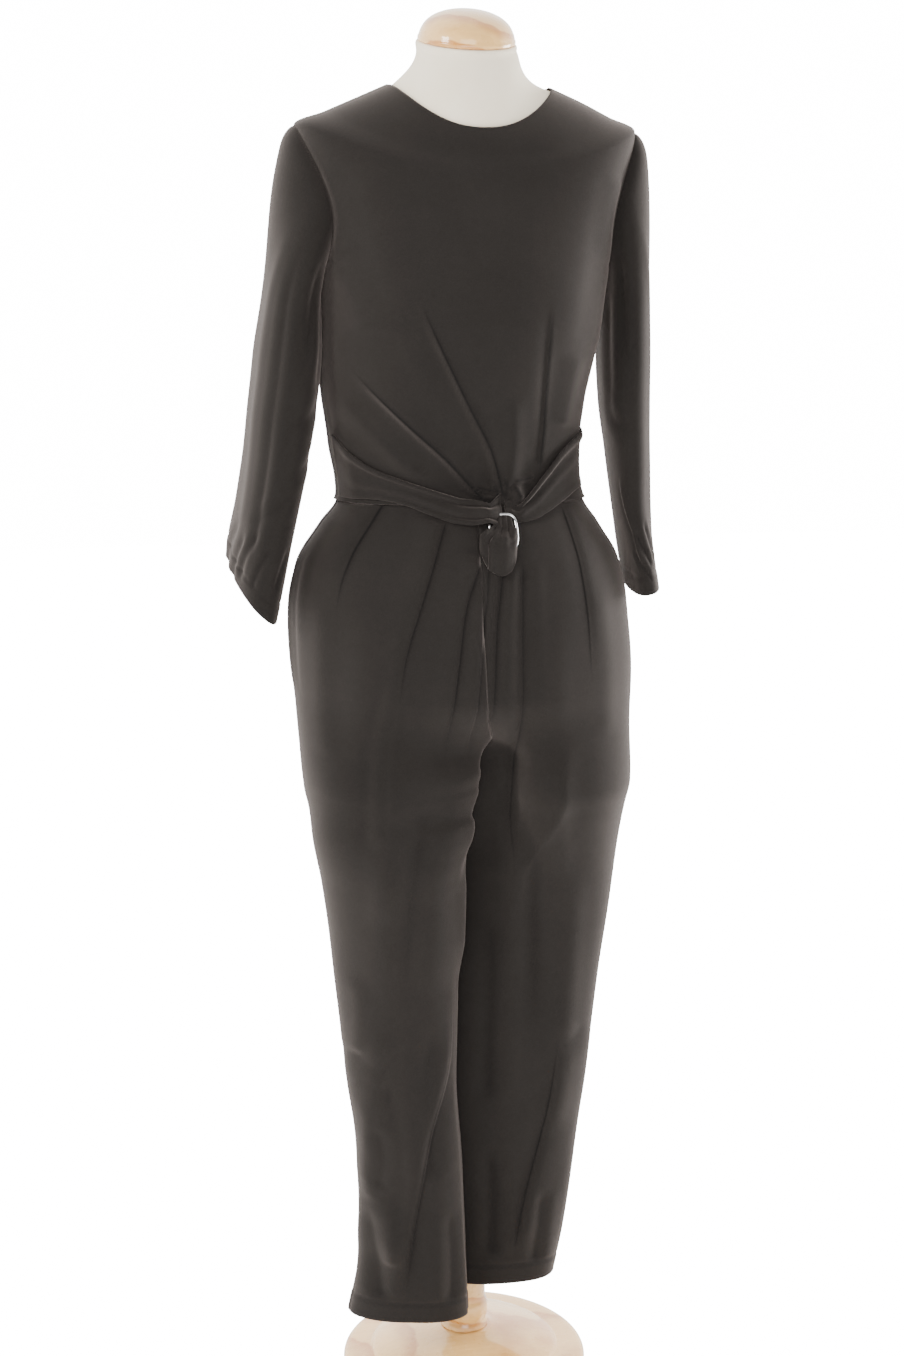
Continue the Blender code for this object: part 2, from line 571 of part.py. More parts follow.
def strip(name, edges, rows, lift):
    """A piece that lies on the fronts between two edges, moved out by lift.

    Its columns are the bodice front's own, with one more at an end that falls
    between two of them.
    """
    level = (edges[0].bottom + edges[-1].top) / 2
    start, end = (body_alpha(edge.x, level) for edge in (edges[0], edges[-1]))
    columns = [math.pi * j / FRONT_COLUMNS for j in range(FRONT_COLUMNS + 1)]
    margin = 0.35 * math.pi / FRONT_COLUMNS
    inside = [a for a in columns if start + margin < a < end - margin]
    alphas = [start] + inside + [end]
    grid = []
    for i in range(rows + 1):
        line = []
        for alpha in alphas:
            x = body(alpha, level, "front")[0]
            top, bottom = smooth(edges, "x", "top", x), smooth(edges, "x", "bottom", x)
            z = top + (bottom - top) * i / rows
            line.append(front_facet(alpha, z) + body_normal(alpha, z) * (lift + BELT_WALL))
        grid.append(line)
    return Panel(name, grid, [], -1)


def front_facet(alpha, z):
    """A point of the fronts as they are built, straight between two of their rows."""
    rows = sorted(set(BODICE_ROWS) | set(TROUSER_ROWS))
    above = next(row for row in rows if row > z)
    below = max(row for row in rows if row <= z)
    share = (z - below) / (above - below)
    return body(alpha, below, "front") * (1 - share) + body(alpha, above, "front") * share


def body_normal(alpha, z):
    """The outward direction of the body's front at this angle and height."""
    alpha = min(max(alpha, 0.03), math.pi - 0.03)
    step = 0.01
    along = body(alpha + step, z, "front") - body(alpha - step, z, "front")
    up = body(alpha, z + step, "front") - body(alpha, z - step, "front")
    n = np.cross(along, up)
    return n / np.linalg.norm(n)


# ---------------------------------------------------------------- hard pieces
def form_torso(material, collection):
    """The bust: rings from its foot to the tilted neck rim, closed at both ends."""
    rings = []
    for row in BUST:
        rings.append([(row.centre + row.half * power(math.cos(a), 2 / BODY_POWER),
                       (row.y_back if math.sin(a) > 0 else -row.y_front) * power(math.sin(a), 2 / BODY_POWER),
                       row.z) for a in angles()])
    for level, extra in ((1.345, 0.006), (1.385, 0.006), (1.418, 0.007), (1.443, 0.006), (1.458, 0.002),
                         (1.478, 0.0), (1.504, 0.0), (1.530, 0.0)):
        rings.append([body_ring_point(level, a, WALL + FORM_CLEARANCE + extra) for a in angles()])
    for row in NECK_RINGS:
        rings.append([ring_point(row, a) for a in angles()])
    for height in (-0.006, 0.0):
        rings.append([neck_point(a, height) for a in angles()])
    mesh = bmesh.new()
    loops = [[mesh.verts.new(p) for p in ring] for ring in rings]
    for low, high in zip(loops, loops[1:]):
        for j in range(FORM_COLUMNS):
            k = (j + 1) % FORM_COLUMNS
            mesh.faces.new((low[j], low[k], high[k], high[j]))
    mesh.faces.new(loops[0])
    mesh.faces.new(loops[-1])
    bmesh.ops.recalc_face_normals(mesh, faces=mesh.faces)
    add_object("form_torso", mesh, material, collection)


def angles():
    return [2 * math.pi * j / FORM_COLUMNS for j in range(FORM_COLUMNS)]


def ring_point(row, a, drop=0.0):
    """A point of a ring row at angle a, 0 at +X and 90 degrees at the back."""
    back = math.sin(a) > 0
    far = row.y_back if back else row.y_front
    far_z = row.z_back if back else row.z_front
    out = abs(math.sin(a)) ** (2 / BODY_POWER)
    return (row.centre + row.half * power(math.cos(a), 2 / BODY_POWER),
            row.y_side + (far - row.y_side) * out,
            row.z_side + (far_z - row.z_side) * math.sin(a) ** 2 - drop)


def body_ring_point(level, a, inset):
    """A body point drawn in along its normal, at angle a."""
    def at(angle, v):
        row = Ring(v, *[smooth(BODY, "level", f, v) for f in Ring._fields[1:]])
        return np.array(ring_point(row, angle))
    step = 0.03
    along = at(a + step, level) - at(a - step, level)
    up = at(a, min(level + 0.006, NECKLINE)) - at(a, min(level, NECKLINE - 0.006) - 0.002)
    n = np.cross(along, up)
    return at(a, level) - n / np.linalg.norm(n) * inset


def neck_point(a, height):
    """A point of the neck's tilted rim, height above the rim's plane."""
    x, y = NECK_RADIUS * math.cos(a), NECK_RADIUS * math.sin(a)
    return (NECK_CENTRE[0] + x, NECK_CENTRE[1] + y * math.cos(NECK_TILT) - height * math.sin(NECK_TILT),
            NECK_CENTRE[2] + y * math.sin(NECK_TILT) + height * math.cos(NECK_TILT))


def turned(name, profile, steps, material, collection):
    """A turned piece: a profile from its top axis, down its outside, to its bottom axis."""
    data = bpy.data.meshes.new(name)
    data.from_pydata([(r, 0.0, z) for r, z in profile], [(i, i + 1) for i in range(len(profile) - 1)], [])
    obj = bpy.data.objects.new(name, data)
    collection.objects.link(obj)
    data.materials.append(material)
    screw = obj.modifiers.new("turn", "SCREW")
    screw.steps = screw.render_steps = steps
    screw.use_merge_vertices = True
    screw.merge_threshold = 0.0001
    screw.use_smooth_shade = True
    return obj


def belt_ring(material, collection):
    """The belt's ring: a bent wire in a rounded square, laid on the belt's ends."""
    width, height = RING_SIZE[0] - 2 * RING_WIRE, RING_SIZE[1] - 2 * RING_WIRE
    curve = bpy.data.curves.new("belt_ring", "CURVE")
    curve.dimensions = "3D"
    curve.bevel_depth = RING_WIRE
    curve.bevel_resolution = 2
    spline = curve.splines.new("POLY")
    count = 32
    spline.points.add(count - 1)
    lift = LAY_GAP + BELT_WALL + 0.0009 + RING_WIRE
    for k, point in enumerate(spline.points):
        a = 2 * math.pi * k / count
        x = RING_CENTRE[0] + width / 2 * power(math.cos(a), 2 / 3.4)
        z = RING_CENTRE[1] + height / 2 * power(math.sin(a), 2 / 3.4)
        p = body(body_alpha(x, z), z, "front") + body_normal(body_alpha(x, z), z) * lift
        point.co = (*p, 1.0)
    spline.use_cyclic_u = True
    curve.materials.append(material)
    collection.objects.link(bpy.data.objects.new("belt_ring", curve))


def stand(material, collection):
    """The base, the pole with its collar, and the cap on the tilted neck."""
    turned("stand_base", ((0.0, 0.052), (0.030, 0.052), (0.036, 0.049), (0.062, 0.0445), (0.088, 0.0385),
                          (0.106, 0.0315), (0.1105, 0.0275), (0.112, 0.0255), (0.138, 0.0240),
                          (0.1430, 0.0205), (BASE_RADIUS, 0.013), (0.1435, 0.004), (0.140, 0.0), (0.0, 0.0)),
           40, material, collection)
    foot = 0.052 + SEAM_GAP
    turned("stand_pole", ((0.0, FORM_FOOT - SEAM_GAP), (POLE_RADIUS, FORM_FOOT - SEAM_GAP),
                          (POLE_RADIUS, 0.088), (0.0262, 0.084), (0.028, 0.079), (0.028, 0.069),
                          (0.0262, 0.064), (0.0262, 0.060), (0.0280, 0.057), (0.0280, foot), (0.0, foot)),
           28, material, collection)
    cap = turned("neck_cap", ((0.0, 0.0345), (0.014, 0.0338), (0.027, 0.0310), (0.038, 0.0262),
                              (0.0460, 0.0195), (0.0505, 0.0115), (0.0520, 0.0060), (0.0530, 0.0045),
                              (0.0530, SEAM_GAP), (0.0, SEAM_GAP)), 40, material, collection)
    cap.location = NECK_CENTRE
    cap.rotation_euler = (NECK_TILT, 0.0, 0.0)


def make_material(name):
    """A plain Principled material from the table of looks."""
    colour, roughness, metallic = MATERIALS[name]
    material = bpy.data.materials.new(name)
    material.use_nodes = True
    shader = material.node_tree.nodes["Principled BSDF"]
    shader.inputs["Base Color"].default_value = colour
    shader.inputs["Roughness"].default_value = roughness
    shader.inputs["Metallic"].default_value = metallic
    return material


def main():
    for obj in list(bpy.data.objects):
        bpy.data.objects.remove(obj, do_unlink=True)
    collection = bpy.data.collections.new("jumpsuit_on_dress_form")
    bpy.context.scene.collection.children.link(collection)
    looks = {name: make_material(name) for name in MATERIALS}

    front, back_right, back_left = bodice_panels()
    cloth = [front, back_right, back_left, *trouser_panels()]
    cloth.append(sleeve_panel("right", SLEEVE_RIGHT, front, back_right))
    cloth.append(sleeve_panel("left", SLEEVE_LEFT, front, back_left))
    weld_normals(cloth)
    drape(cloth)
    weld_normals(cloth)
    for panel in cloth:
        draw_back_seams(panel, SEAM_GAP)
        build_wall(panel, WALL, looks["crepe"], collection)

    for name, edges in (("belt_right", BELT_RIGHT_EDGES), ("belt_left", BELT_LEFT_EDGES),
                        ("belt_tail", TAIL_EDGES)):
        piece = strip(name, edges, 6, LAY_GAP)
        piece.find_normals()
        build_wall(piece, BELT_WALL, looks["crepe"], collection)
    belt_ring(looks["metal"], collection)
    form_torso(looks["jersey"], collection)
    stand(looks["wood"], collection)


main()
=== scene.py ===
"""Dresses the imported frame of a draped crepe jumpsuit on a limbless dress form.

The cloth is a set of thin shells, one for each cut piece. Every shell is a grid
laid on the surface of its solid, with its folds, pleats and seams worked in along
the surface's own directions. The form, the cap, the pole and the base are turned
and lofted pieces.
"""
import logging
import math
from dataclasses import dataclass, field
from enum import Enum
from functools import partial
from typing import Callable, Iterable, Iterator, Sequence

import bmesh
import bpy
import numpy as np
from mathutils import Matrix, Vector


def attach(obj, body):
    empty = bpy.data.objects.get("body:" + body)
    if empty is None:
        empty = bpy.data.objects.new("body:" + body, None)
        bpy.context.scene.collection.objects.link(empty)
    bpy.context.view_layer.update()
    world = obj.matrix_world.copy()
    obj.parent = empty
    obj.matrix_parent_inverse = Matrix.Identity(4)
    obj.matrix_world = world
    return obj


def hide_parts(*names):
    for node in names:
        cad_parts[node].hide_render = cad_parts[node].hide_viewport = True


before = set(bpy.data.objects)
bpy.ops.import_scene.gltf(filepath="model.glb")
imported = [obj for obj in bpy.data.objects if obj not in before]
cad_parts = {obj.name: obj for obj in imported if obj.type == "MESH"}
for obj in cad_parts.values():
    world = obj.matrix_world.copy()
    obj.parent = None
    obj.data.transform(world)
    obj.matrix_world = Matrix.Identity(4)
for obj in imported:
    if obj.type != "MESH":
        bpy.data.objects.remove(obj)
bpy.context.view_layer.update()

LOG = logging.getLogger("jumpsuit")
Array = np.ndarray
Point = tuple[float, float, float]
Colour = tuple[float, float, float]
Pairs = tuple[tuple[float, float], ...]
Socket = bpy.types.NodeSocket
WHITE = (1.0, 1.0, 1.0)


# ------------------------------------------------------------------ named choices
class Side(Enum):
    """The wearer's side of a piece."""

    RIGHT = "right"
    LEFT = "left"

    @property
    def way(self) -> float:
        """The sign of x on this side."""
        return -1.0 if self is Side.RIGHT else 1.0


class Face(Enum):
    """The half of the body that a panel covers."""

    FRONT = "front"
    BACK = "back"


class Lie(Enum):
    """How a fold lies in the cloth."""

    VALLEY = "valley"      # a soft trough with a low ridge on each side
    TUCK = "tuck"          # a sharp line with a full ridge rolled over on one side
    RIDGE = "ridge"        # a soft standing roll
    DRAW = "draw"          # a narrow line where the cloth is drawn tight


class Seam(Enum):
    """An edge of a panel."""

    TOP = "top"
    BOTTOM = "bottom"
    START = "start"
    END = "end"


# ------------------------------------------------------------------ small tools
def ease(t: Array | float) -> Array:
    """Smooth step.

    Args:
        t: Where to read it; values are held between 0 and 1.

    Returns:
        A value from 0 to 1 with flat ends.
    """
    t = np.clip(t, 0.0, 1.0)
    return t * t * (3.0 - 2.0 * t)


def rise(t: Array | float, start: float, length: float) -> Array:
    """0 up to a start, 1 from a length past it; a negative length rises the other way."""
    return ease((t - start) / length)


def bell(t: Array, middle: float, width: float) -> Array:
    """1 at a middle, falling to 0.37 a width away from it."""
    return np.exp(-((t - middle) / width) ** 2)


def power(value: Array, exponent: float | Array) -> Array:
    """The power of a value's size, with its sign kept, for superellipses."""
    return np.sign(value) * np.abs(value) ** exponent


def unit(v: Array) -> Array:
    """Vectors of length 1."""
    return v / np.maximum(np.linalg.norm(v, axis=-1, keepdims=True), 1e-12)


def cubic(t: Array, start: Array, leave: Array, end: Array, arrive: Array) -> Array:
    """A cubic curve between two points.

    Args:
        t: The share of the way, from 0 to 1.
        start: The first point.
        leave: The direction there.
        end: The last point.
        arrive: The direction there.

    Returns:
        The point at each share.
    """
    return ((2 * t ** 3 - 3 * t ** 2 + 1) * start + (t ** 3 - 2 * t ** 2 + t) * leave
            + (3 * t ** 2 - 2 * t ** 3) * end + (t ** 3 - t ** 2) * arrive)


def ripple(x: Array, z: Array, sizes: Sequence[tuple[float, float, float, float]]) -> Array:
    """A sum of long soft waves, for the uneven hang of cloth.

    Args:
        x: Across, in metres.
        z: Up, in metres.
        sizes: Rows of wavelength across, wavelength up, height and phase.

    Returns:
        The height of the waves at each point.
    """
    total = np.zeros_like(x)
    for across, up, height, phase in sizes:
        total += height * np.sin(2 * math.pi * (x / across + z / up) + phase) \
            * np.sin(2 * math.pi * (z / (up * 1.7) - x / (across * 2.3)) + 1.7 * phase)
    return total


def stations(count: int, edges: float = 0.0) -> Array:
    """Even places from 0 to 1, drawn a little closer together at both ends."""
    t = np.linspace(0.0, 1.0, count + 1)
    return t - edges * np.sin(2 * math.pi * t) / (2 * math.pi)


@dataclass(frozen=True)
class Table:
    """Rows of named sizes, read as smooth curves along their first column."""

    names: tuple[str, ...]
    rows: tuple[tuple[float, ...], ...]

    def read(self, name: str, at: Array | float) -> Array:
        """Reads one column.

        Args:
            name: The column.
            at: Places along the first column.

        Returns:
            The column's value at each place, on a curve that doesn't overshoot.
        """
        data = np.array(self.rows, dtype=float)
        xs, ys = data[:, 0], data[:, self.names.index(name)]
        if xs[0] > xs[-1]:
            xs, ys = xs[::-1], ys[::-1]
        at = np.clip(np.asarray(at, dtype=float), xs[0], xs[-1])
        i = np.clip(np.searchsorted(xs, at, side="left") - 1, 0, len(xs) - 2)
        slopes = np.diff(ys) / np.diff(xs)
        tangents = np.concatenate(([slopes[0]], np.zeros(len(xs) - 2), [slopes[-1]]))
        for k in range(1, len(xs) - 1):
            if slopes[k - 1] * slopes[k] > 0:
                tangents[k] = 2 * slopes[k - 1] * slopes[k] / (slopes[k - 1] + slopes[k])
        span = xs[i + 1] - xs[i]
        return cubic((at - xs[i]) / span, ys[i], span * tangents[i], ys[i + 1], span * tangents[i + 1])


@dataclass(frozen=True)
class Roll:
    """A soft roll in a piece: its middle, width and height, negative for a groove."""

    middle: float
    width: float
    height: float

    def over(self, t: Array) -> Array:
        """The roll's height at places along it or across it."""
        return self.height * bell(t, self.middle, self.width)


@dataclass(frozen=True)
class Pleats:
    """A run of small pleats: their height, number down and along a piece, and phase."""

    height: float
    down: float
    along: float
    phase: float

    def over(self, u: Array, v: Array) -> Array:
        """The pleats' height over a piece."""
        return self.height * np.sin(2 * math.pi * (self.down * v + self.along * u) + self.phase)


@dataclass(frozen=True)
class Crease:
    """One fold: a path over the cloth in centimetres, its depth in millimetres.

    A path runs downwards or towards the ring. With the path running down, the
    rolled side of a tuck is on the wearer's right, or on the left where mirror
    is set. On a sleeve the path's first number is the way round, from the seam
    next to the body.
    """

    path: Pairs
    start: float
    end: float
    width: float
    lie: Lie = Lie.VALLEY
    spread: float = 1.0
    mirror: bool = False
    fade_in: float = 0.22
    fade_out: float = 0.12
    sharp: float = -1.0

    @property
    def edge(self) -> float:
        """How crisply the fold's edge shows in its bump and painted dark line: tucks fully, gathers half, the
        rest not.
        """
        return self.sharp if self.sharp >= 0.0 else {Lie.TUCK: 1.0, Lie.DRAW: 0.5}.get(self.lie, 0.0)

    def fading(self, along: Array) -> Array:
        """How much of the fold there is at a share of its path."""
        return ease(along / self.fade_in) * ease((1.0 - along) / self.fade_out)

    def reach(self, x: Array, z: Array) -> tuple[Array, Array]:
        """Where points lie beside the fold.

        Args:
            x: Across, in metres.
            z: Up, in metres.

        Returns:
            The distance from the fold, positive on its rolled side, and the share
            of the path passed.
        """
        knots = np.array(self.path) / 100.0
        reach = np.concatenate(([0.0], np.cumsum(np.linalg.norm(np.diff(knots, axis=0), axis=1))))
        fine = np.linspace(0.0, reach[-1], max(5, 3 * len(knots)))
        curve = np.stack([np.interp(fine, reach, knots[:, k]) for k in (0, 1)], axis=1)
        for _ in range(2):
            curve[1:-1] = (curve[:-2] + 2 * curve[1:-1] + curve[2:]) / 4
        near, side, along = np.full(x.shape, 9.0), np.zeros(x.shape), np.zeros(x.shape)
        for k, (a, b) in enumerate(zip(curve, curve[1:])):
            run = b - a
            length = float(np.hypot(*run))
            s = np.clip(((x - a[0]) * run[0] + (z - a[1]) * run[1]) / length ** 2, 0.0, 1.0)
            away = np.hypot(x - (a[0] + s * run[0]), z - (a[1] + s * run[1]))
            closer = away < near
            near = np.where(closer, away, near)
            turn = ((x - a[0]) * run[1] - (z - a[1]) * run[0]) / length
            side = np.where(closer, np.sign(turn) * away, side)
            along = np.where(closer, (fine[k] + s * length) / fine[-1], along)
        return (-side if self.mirror else side), along

    def relief(self, x: Array, z: Array) -> Array:
        """How far the cloth stands out of its surface.

        Args:
            x: Across, in metres.
            z: Up, in metres.

        Returns:
            The height in metres, negative in a trough.
        """
        side, along = self.reach(x, z)
        e = side / (self.width / 1000.0 * (1.0 + (self.spread - 1.0) * along))
        height = (self.start + (self.end - self.start) * along) / 1000.0 * self.fading(along)
        if self.lie is Lie.VALLEY:
            return height * (-np.exp(-np.abs(e) ** 1.6) + 0.38 * (bell(e, 1.9, 1.0) + bell(e, -1.9, 1.0)))
        if self.lie is Lie.TUCK:
            roll = np.where(e > 0.8, bell(e, 0.8, 1.9), 1.0) * rise(e, -0.06, 0.86)
            return height * (0.80 * roll - 0.12 * bell(e, -0.5, 0.7))
        if self.lie is Lie.DRAW:
            return height * -np.exp(-(np.abs(e) * 1.4) ** 1.2)
        return height * bell(e, 0.0, 1.15)


def relief_of(creases: Iterable[Crease], x: Array, z: Array) -> Array:
    """The creases' reliefs, added."""
    return sum((crease.relief(x, z) for crease in creases), np.zeros_like(x))


def edges_of(creases: Iterable[Crease], x: Array, z: Array) -> tuple[Array, Array]:
    """Finds the nearest crisp fold, for the bump and the painted dark line along it.

    Args:
        creases: The folds.
        x: Across, in metres.
        z: Up, in metres.

    Returns:
        The distance to it in millimetres, and how crisp it is there, from 0 to 1.
    """
    near, crisp = np.full(x.shape, 20.0), np.zeros(x.shape)
    for crease in creases:
        if crease.edge > 0.0:
            side, along = crease.reach(x, z)
            here = crease.edge * crease.fading(along) * bell(side, 0.0, 0.0055)
            closer = np.abs(side * 1000.0) < np.abs(near)
            near, crisp = np.where(closer, side * 1000.0, near), np.where(closer, here, crisp)
    return near, crisp


# ------------------------------------------------------------------ the body block
WAIST, UNDERARM, SHOULDER_TIP, NECKLINE = 1.045, 1.285, 1.445, 1.530
CROTCH, RISE_BLEND, LEAN = 0.725, 0.835, 0.054
CROTCH_POINT, RISE_LEAN = (-0.037, -0.030), (-0.065, -0.020)
ARMHOLE = {Face.FRONT: math.radians(24.0), Face.BACK: math.radians(20.0)}
BODY_POWER, LEG_POWER, CUFF_POWER = 2.25, 2.2, 2.5

# The rings up to the bust are level; above it they dip at the front and the back.
RINGS = Table(
    ("level", "z_side", "z_front", "z_back", "half", "centre", "y_side", "y_front", "y_back"),
    tuple((z, z, z, z, *sizes) for z, *sizes in (
        (0.725, 0.188, 0.000, 0.000, -0.118, 0.112),
        (0.768, 0.190, 0.000, 0.000, -0.124, 0.120),
        (0.815, 0.193, 0.000, 0.000, -0.128, 0.126),
        (0.861, 0.195, -0.002, 0.000, -0.130, 0.128),
        (0.929, 0.192, -0.006, 0.000, -0.128, 0.123),
        (0.975, 0.183, -0.007, 0.000, -0.122, 0.115),
        (1.019, 0.157, -0.006, 0.000, -0.106, 0.102),
        (1.045, 0.139, -0.005, 0.000, -0.096, 0.094),
        (1.070, 0.136, -0.008, 0.000, -0.095, 0.094),
        (1.109, 0.139, -0.012, 0.000, -0.103, 0.101),
        (1.153, 0.1445, -0.012, 0.001, -0.113, 0.108),
        (1.197, 0.150, -0.009, 0.002, -0.124, 0.113),
        (1.240, 0.154, -0.005, 0.003, -0.131, 0.116))) + (
        (1.285, 1.285, 1.280, 1.283, 0.158, -0.002, 0.004, -0.129, 0.117),
        (1.340, 1.337, 1.322, 1.335, 0.1645, 0.0015, 0.005, -0.117, 0.116),
        (1.395, 1.392, 1.362, 1.385, 0.1755, 0.0035, 0.007, -0.103, 0.111),
        (1.445, 1.446, 1.396, 1.430, 0.1875, 0.004, 0.010, -0.092, 0.101),
        (1.475, 1.461, 1.409, 1.450, 0.156, 0.006, 0.010, -0.087, 0.091),
        (1.505, 1.477, 1.426, 1.472, 0.120, 0.007, 0.008, -0.081, 0.078),
        (1.530, 1.490, 1.441, 1.492, 0.089, 0.006, 0.006, -0.074, 0.062)))

LEG_NAMES = ("z", "outer_x", "outer_y", "inner_x", "inner_y", "front", "back", "front_power", "back_power")
LEGS = {
    Side.RIGHT: Table(LEG_NAMES, (
        (0.835, -0.194, 0.000, -0.065, -0.020, 0.118, 0.115, 2.3, 2.2),
        (0.725, -0.186, -0.006, -0.037, -0.030, 0.110, 0.104, 2.3, 1.3),
        (0.700, -0.178, -0.001, -0.042, -0.040, 0.105, 0.096, 2.3, 1.2),
        (0.665, -0.1665, 0.006, -0.027, -0.066, 0.097, 0.080, 2.3, 1.05),
        (0.620, -0.1545, 0.010, -0.0145, -0.083, 0.086, 0.066, 2.2, 1.0),
        (0.560, -0.1485, 0.009, -0.0150, -0.080, 0.074, 0.056, 2.2, 1.1),
        (0.500, -0.1460, 0.005, -0.0215, -0.072, 0.064, 0.050, 2.2, 1.3),
        (0.390, -0.140, -0.008, -0.022, -0.063, 0.052, 0.043, 2.2, 1.6),
        (0.285, -0.129, -0.0175, -0.015, -0.0585, 0.045, 0.039, 2.2, 1.9),
        (0.180, -0.129, -0.021, -0.011, -0.057, 0.039, 0.034, 2.2, 2.0),
        (0.097, -0.144, -0.021, -0.008, -0.057, 0.036, 0.031, 2.2, 2.0))),
    Side.LEFT: Table(LEG_NAMES, (
        (0.835, 0.192, 0.000, -0.065, -0.020, 0.116, 0.115, 2.3, 2.2),
        (0.725, 0.186, -0.006, -0.037, -0.030, 0.108, 0.104, 1.3, 2.2),
        (0.700, 0.1825, -0.010, -0.033, -0.020, 0.103, 0.099, 1.2, 2.3),
        (0.665, 0.178, -0.017, -0.0385, -0.006, 0.094, 0.092, 1.15, 2.3),
        (0.620, 0.1715, -0.025, -0.0420, 0.009, 0.082, 0.082, 1.30, 2.3),
        (0.560, 0.163, -0.031, -0.0400, 0.018, 0.070, 0.070, 1.5, 2.3),
        (0.500, 0.154, -0.0325, -0.038, 0.018, 0.061, 0.061, 1.8, 2.3),
        (0.390, 0.142, -0.029, -0.036, 0.014, 0.051, 0.051, 2.3, 2.3),
        (0.285, 0.130, -0.024, -0.035, 0.011, 0.0445, 0.044, 2.3, 2.3),
        (0.180, 0.1165, -0.023, -0.035, 0.010, 0.040, 0.039, 2.4, 2.4),
        (0.112, 0.103, -0.021, -0.035, 0.009, 0.038, 0.037, 2.4, 2.4))),
}
HEMS = {Side.RIGHT: 0.097, Side.LEFT: 0.120}

CUFF_NAMES = ("z", "x", "y", "thin", "deep", "turn", "slope")
SLEEVES = {
    Side.RIGHT: Table(CUFF_NAMES, (
        (1.250, -0.1930, 0.005, 0.0310, 0.0700, 1.0, 0.00),
        (1.200, -0.1975, 0.004, 0.0345, 0.0700, 3.0, 0.02),
        (1.153, -0.2030, 0.003, 0.0350, 0.0695, 4.0, 0.05),
        (1.095, -0.2115, 0.001, 0.0325, 0.0695, 4.0, 0.12),
        (1.042, -0.2220, -0.002, 0.0305, 0.0690, 4.0, 0.24),
        (0.995, -0.2330, -0.006, 0.0280, 0.0680, 4.0, 0.52),
        (0.953, -0.2415, -0.010, 0.0230, 0.0660, 4.0, 1.12))),
    Side.LEFT: Table(CUFF_NAMES, (
        (1.250, 0.1830, 0.005, 0.0255, 0.0720, 6.0, 0.00),
        (1.200, 0.1835, 0.005, 0.0265, 0.0720, 7.0, 0.02),
        (1.153, 0.1845, 0.004, 0.0262, 0.0715, 8.0, 0.05),
        (1.095, 0.1885, 0.002, 0.0230, 0.0715, 10.0, 0.10),
        (1.042, 0.1925, -0.001, 0.0205, 0.0720, 12.0, 0.16),
        (0.995, 0.1980, -0.002, 0.0185, 0.0700, 9.0, 0.20),
        (0.945, 0.2055, -0.004, 0.0165, 0.0675, 7.0, 0.26))),
}

EDGE_NAMES = ("x", "top", "bottom")
BELT_RIGHT_EDGES = Table(EDGE_NAMES, (
    (-0.150, 1.118, 1.054), (-0.138, 1.104, 1.050), (-0.112, 1.084, 1.051), (-0.082, 1.071, 1.045),
    (-0.054, 1.061, 1.033), (-0.030, 1.053, 1.025), (-0.008, 1.045, 1.023), (0.006, 1.038, 1.024)))
BELT_LEFT_EDGES = Table(EDGE_NAMES, (
    (0.0335, 1.036, 1.024), (0.042, 1.044, 1.025), (0.056, 1.060, 1.027), (0.073, 1.081, 1.034),
    (0.092, 1.104, 1.045), (0.112, 1.118, 1.056), (0.132, 1.124, 1.061)))
TAIL_HEM = Table(("u", "x", "z"), (
    (0.0, -0.0075, 0.9930), (0.12, -0.0045, 0.9850), (0.25, 0.0005, 0.9775), (0.40, 0.0075, 0.9725),
    (0.58, 0.0150, 0.9700), (0.78, 0.0240, 0.9745), (0.90, 0.0295, 0.9840), (1.0, 0.0330, 0.9940)))
RING_WIDTH, RING_HEIGHT, RING_WIRE = 0.033, 0.040, 0.0016
RING_CENTRE = (0.0195, 1.0150)
KNOT_TOP, KNOT_BOTTOM = 1.0460, 0.9800
BELT_MARGIN, BELT_FADE = 0.002, 0.012


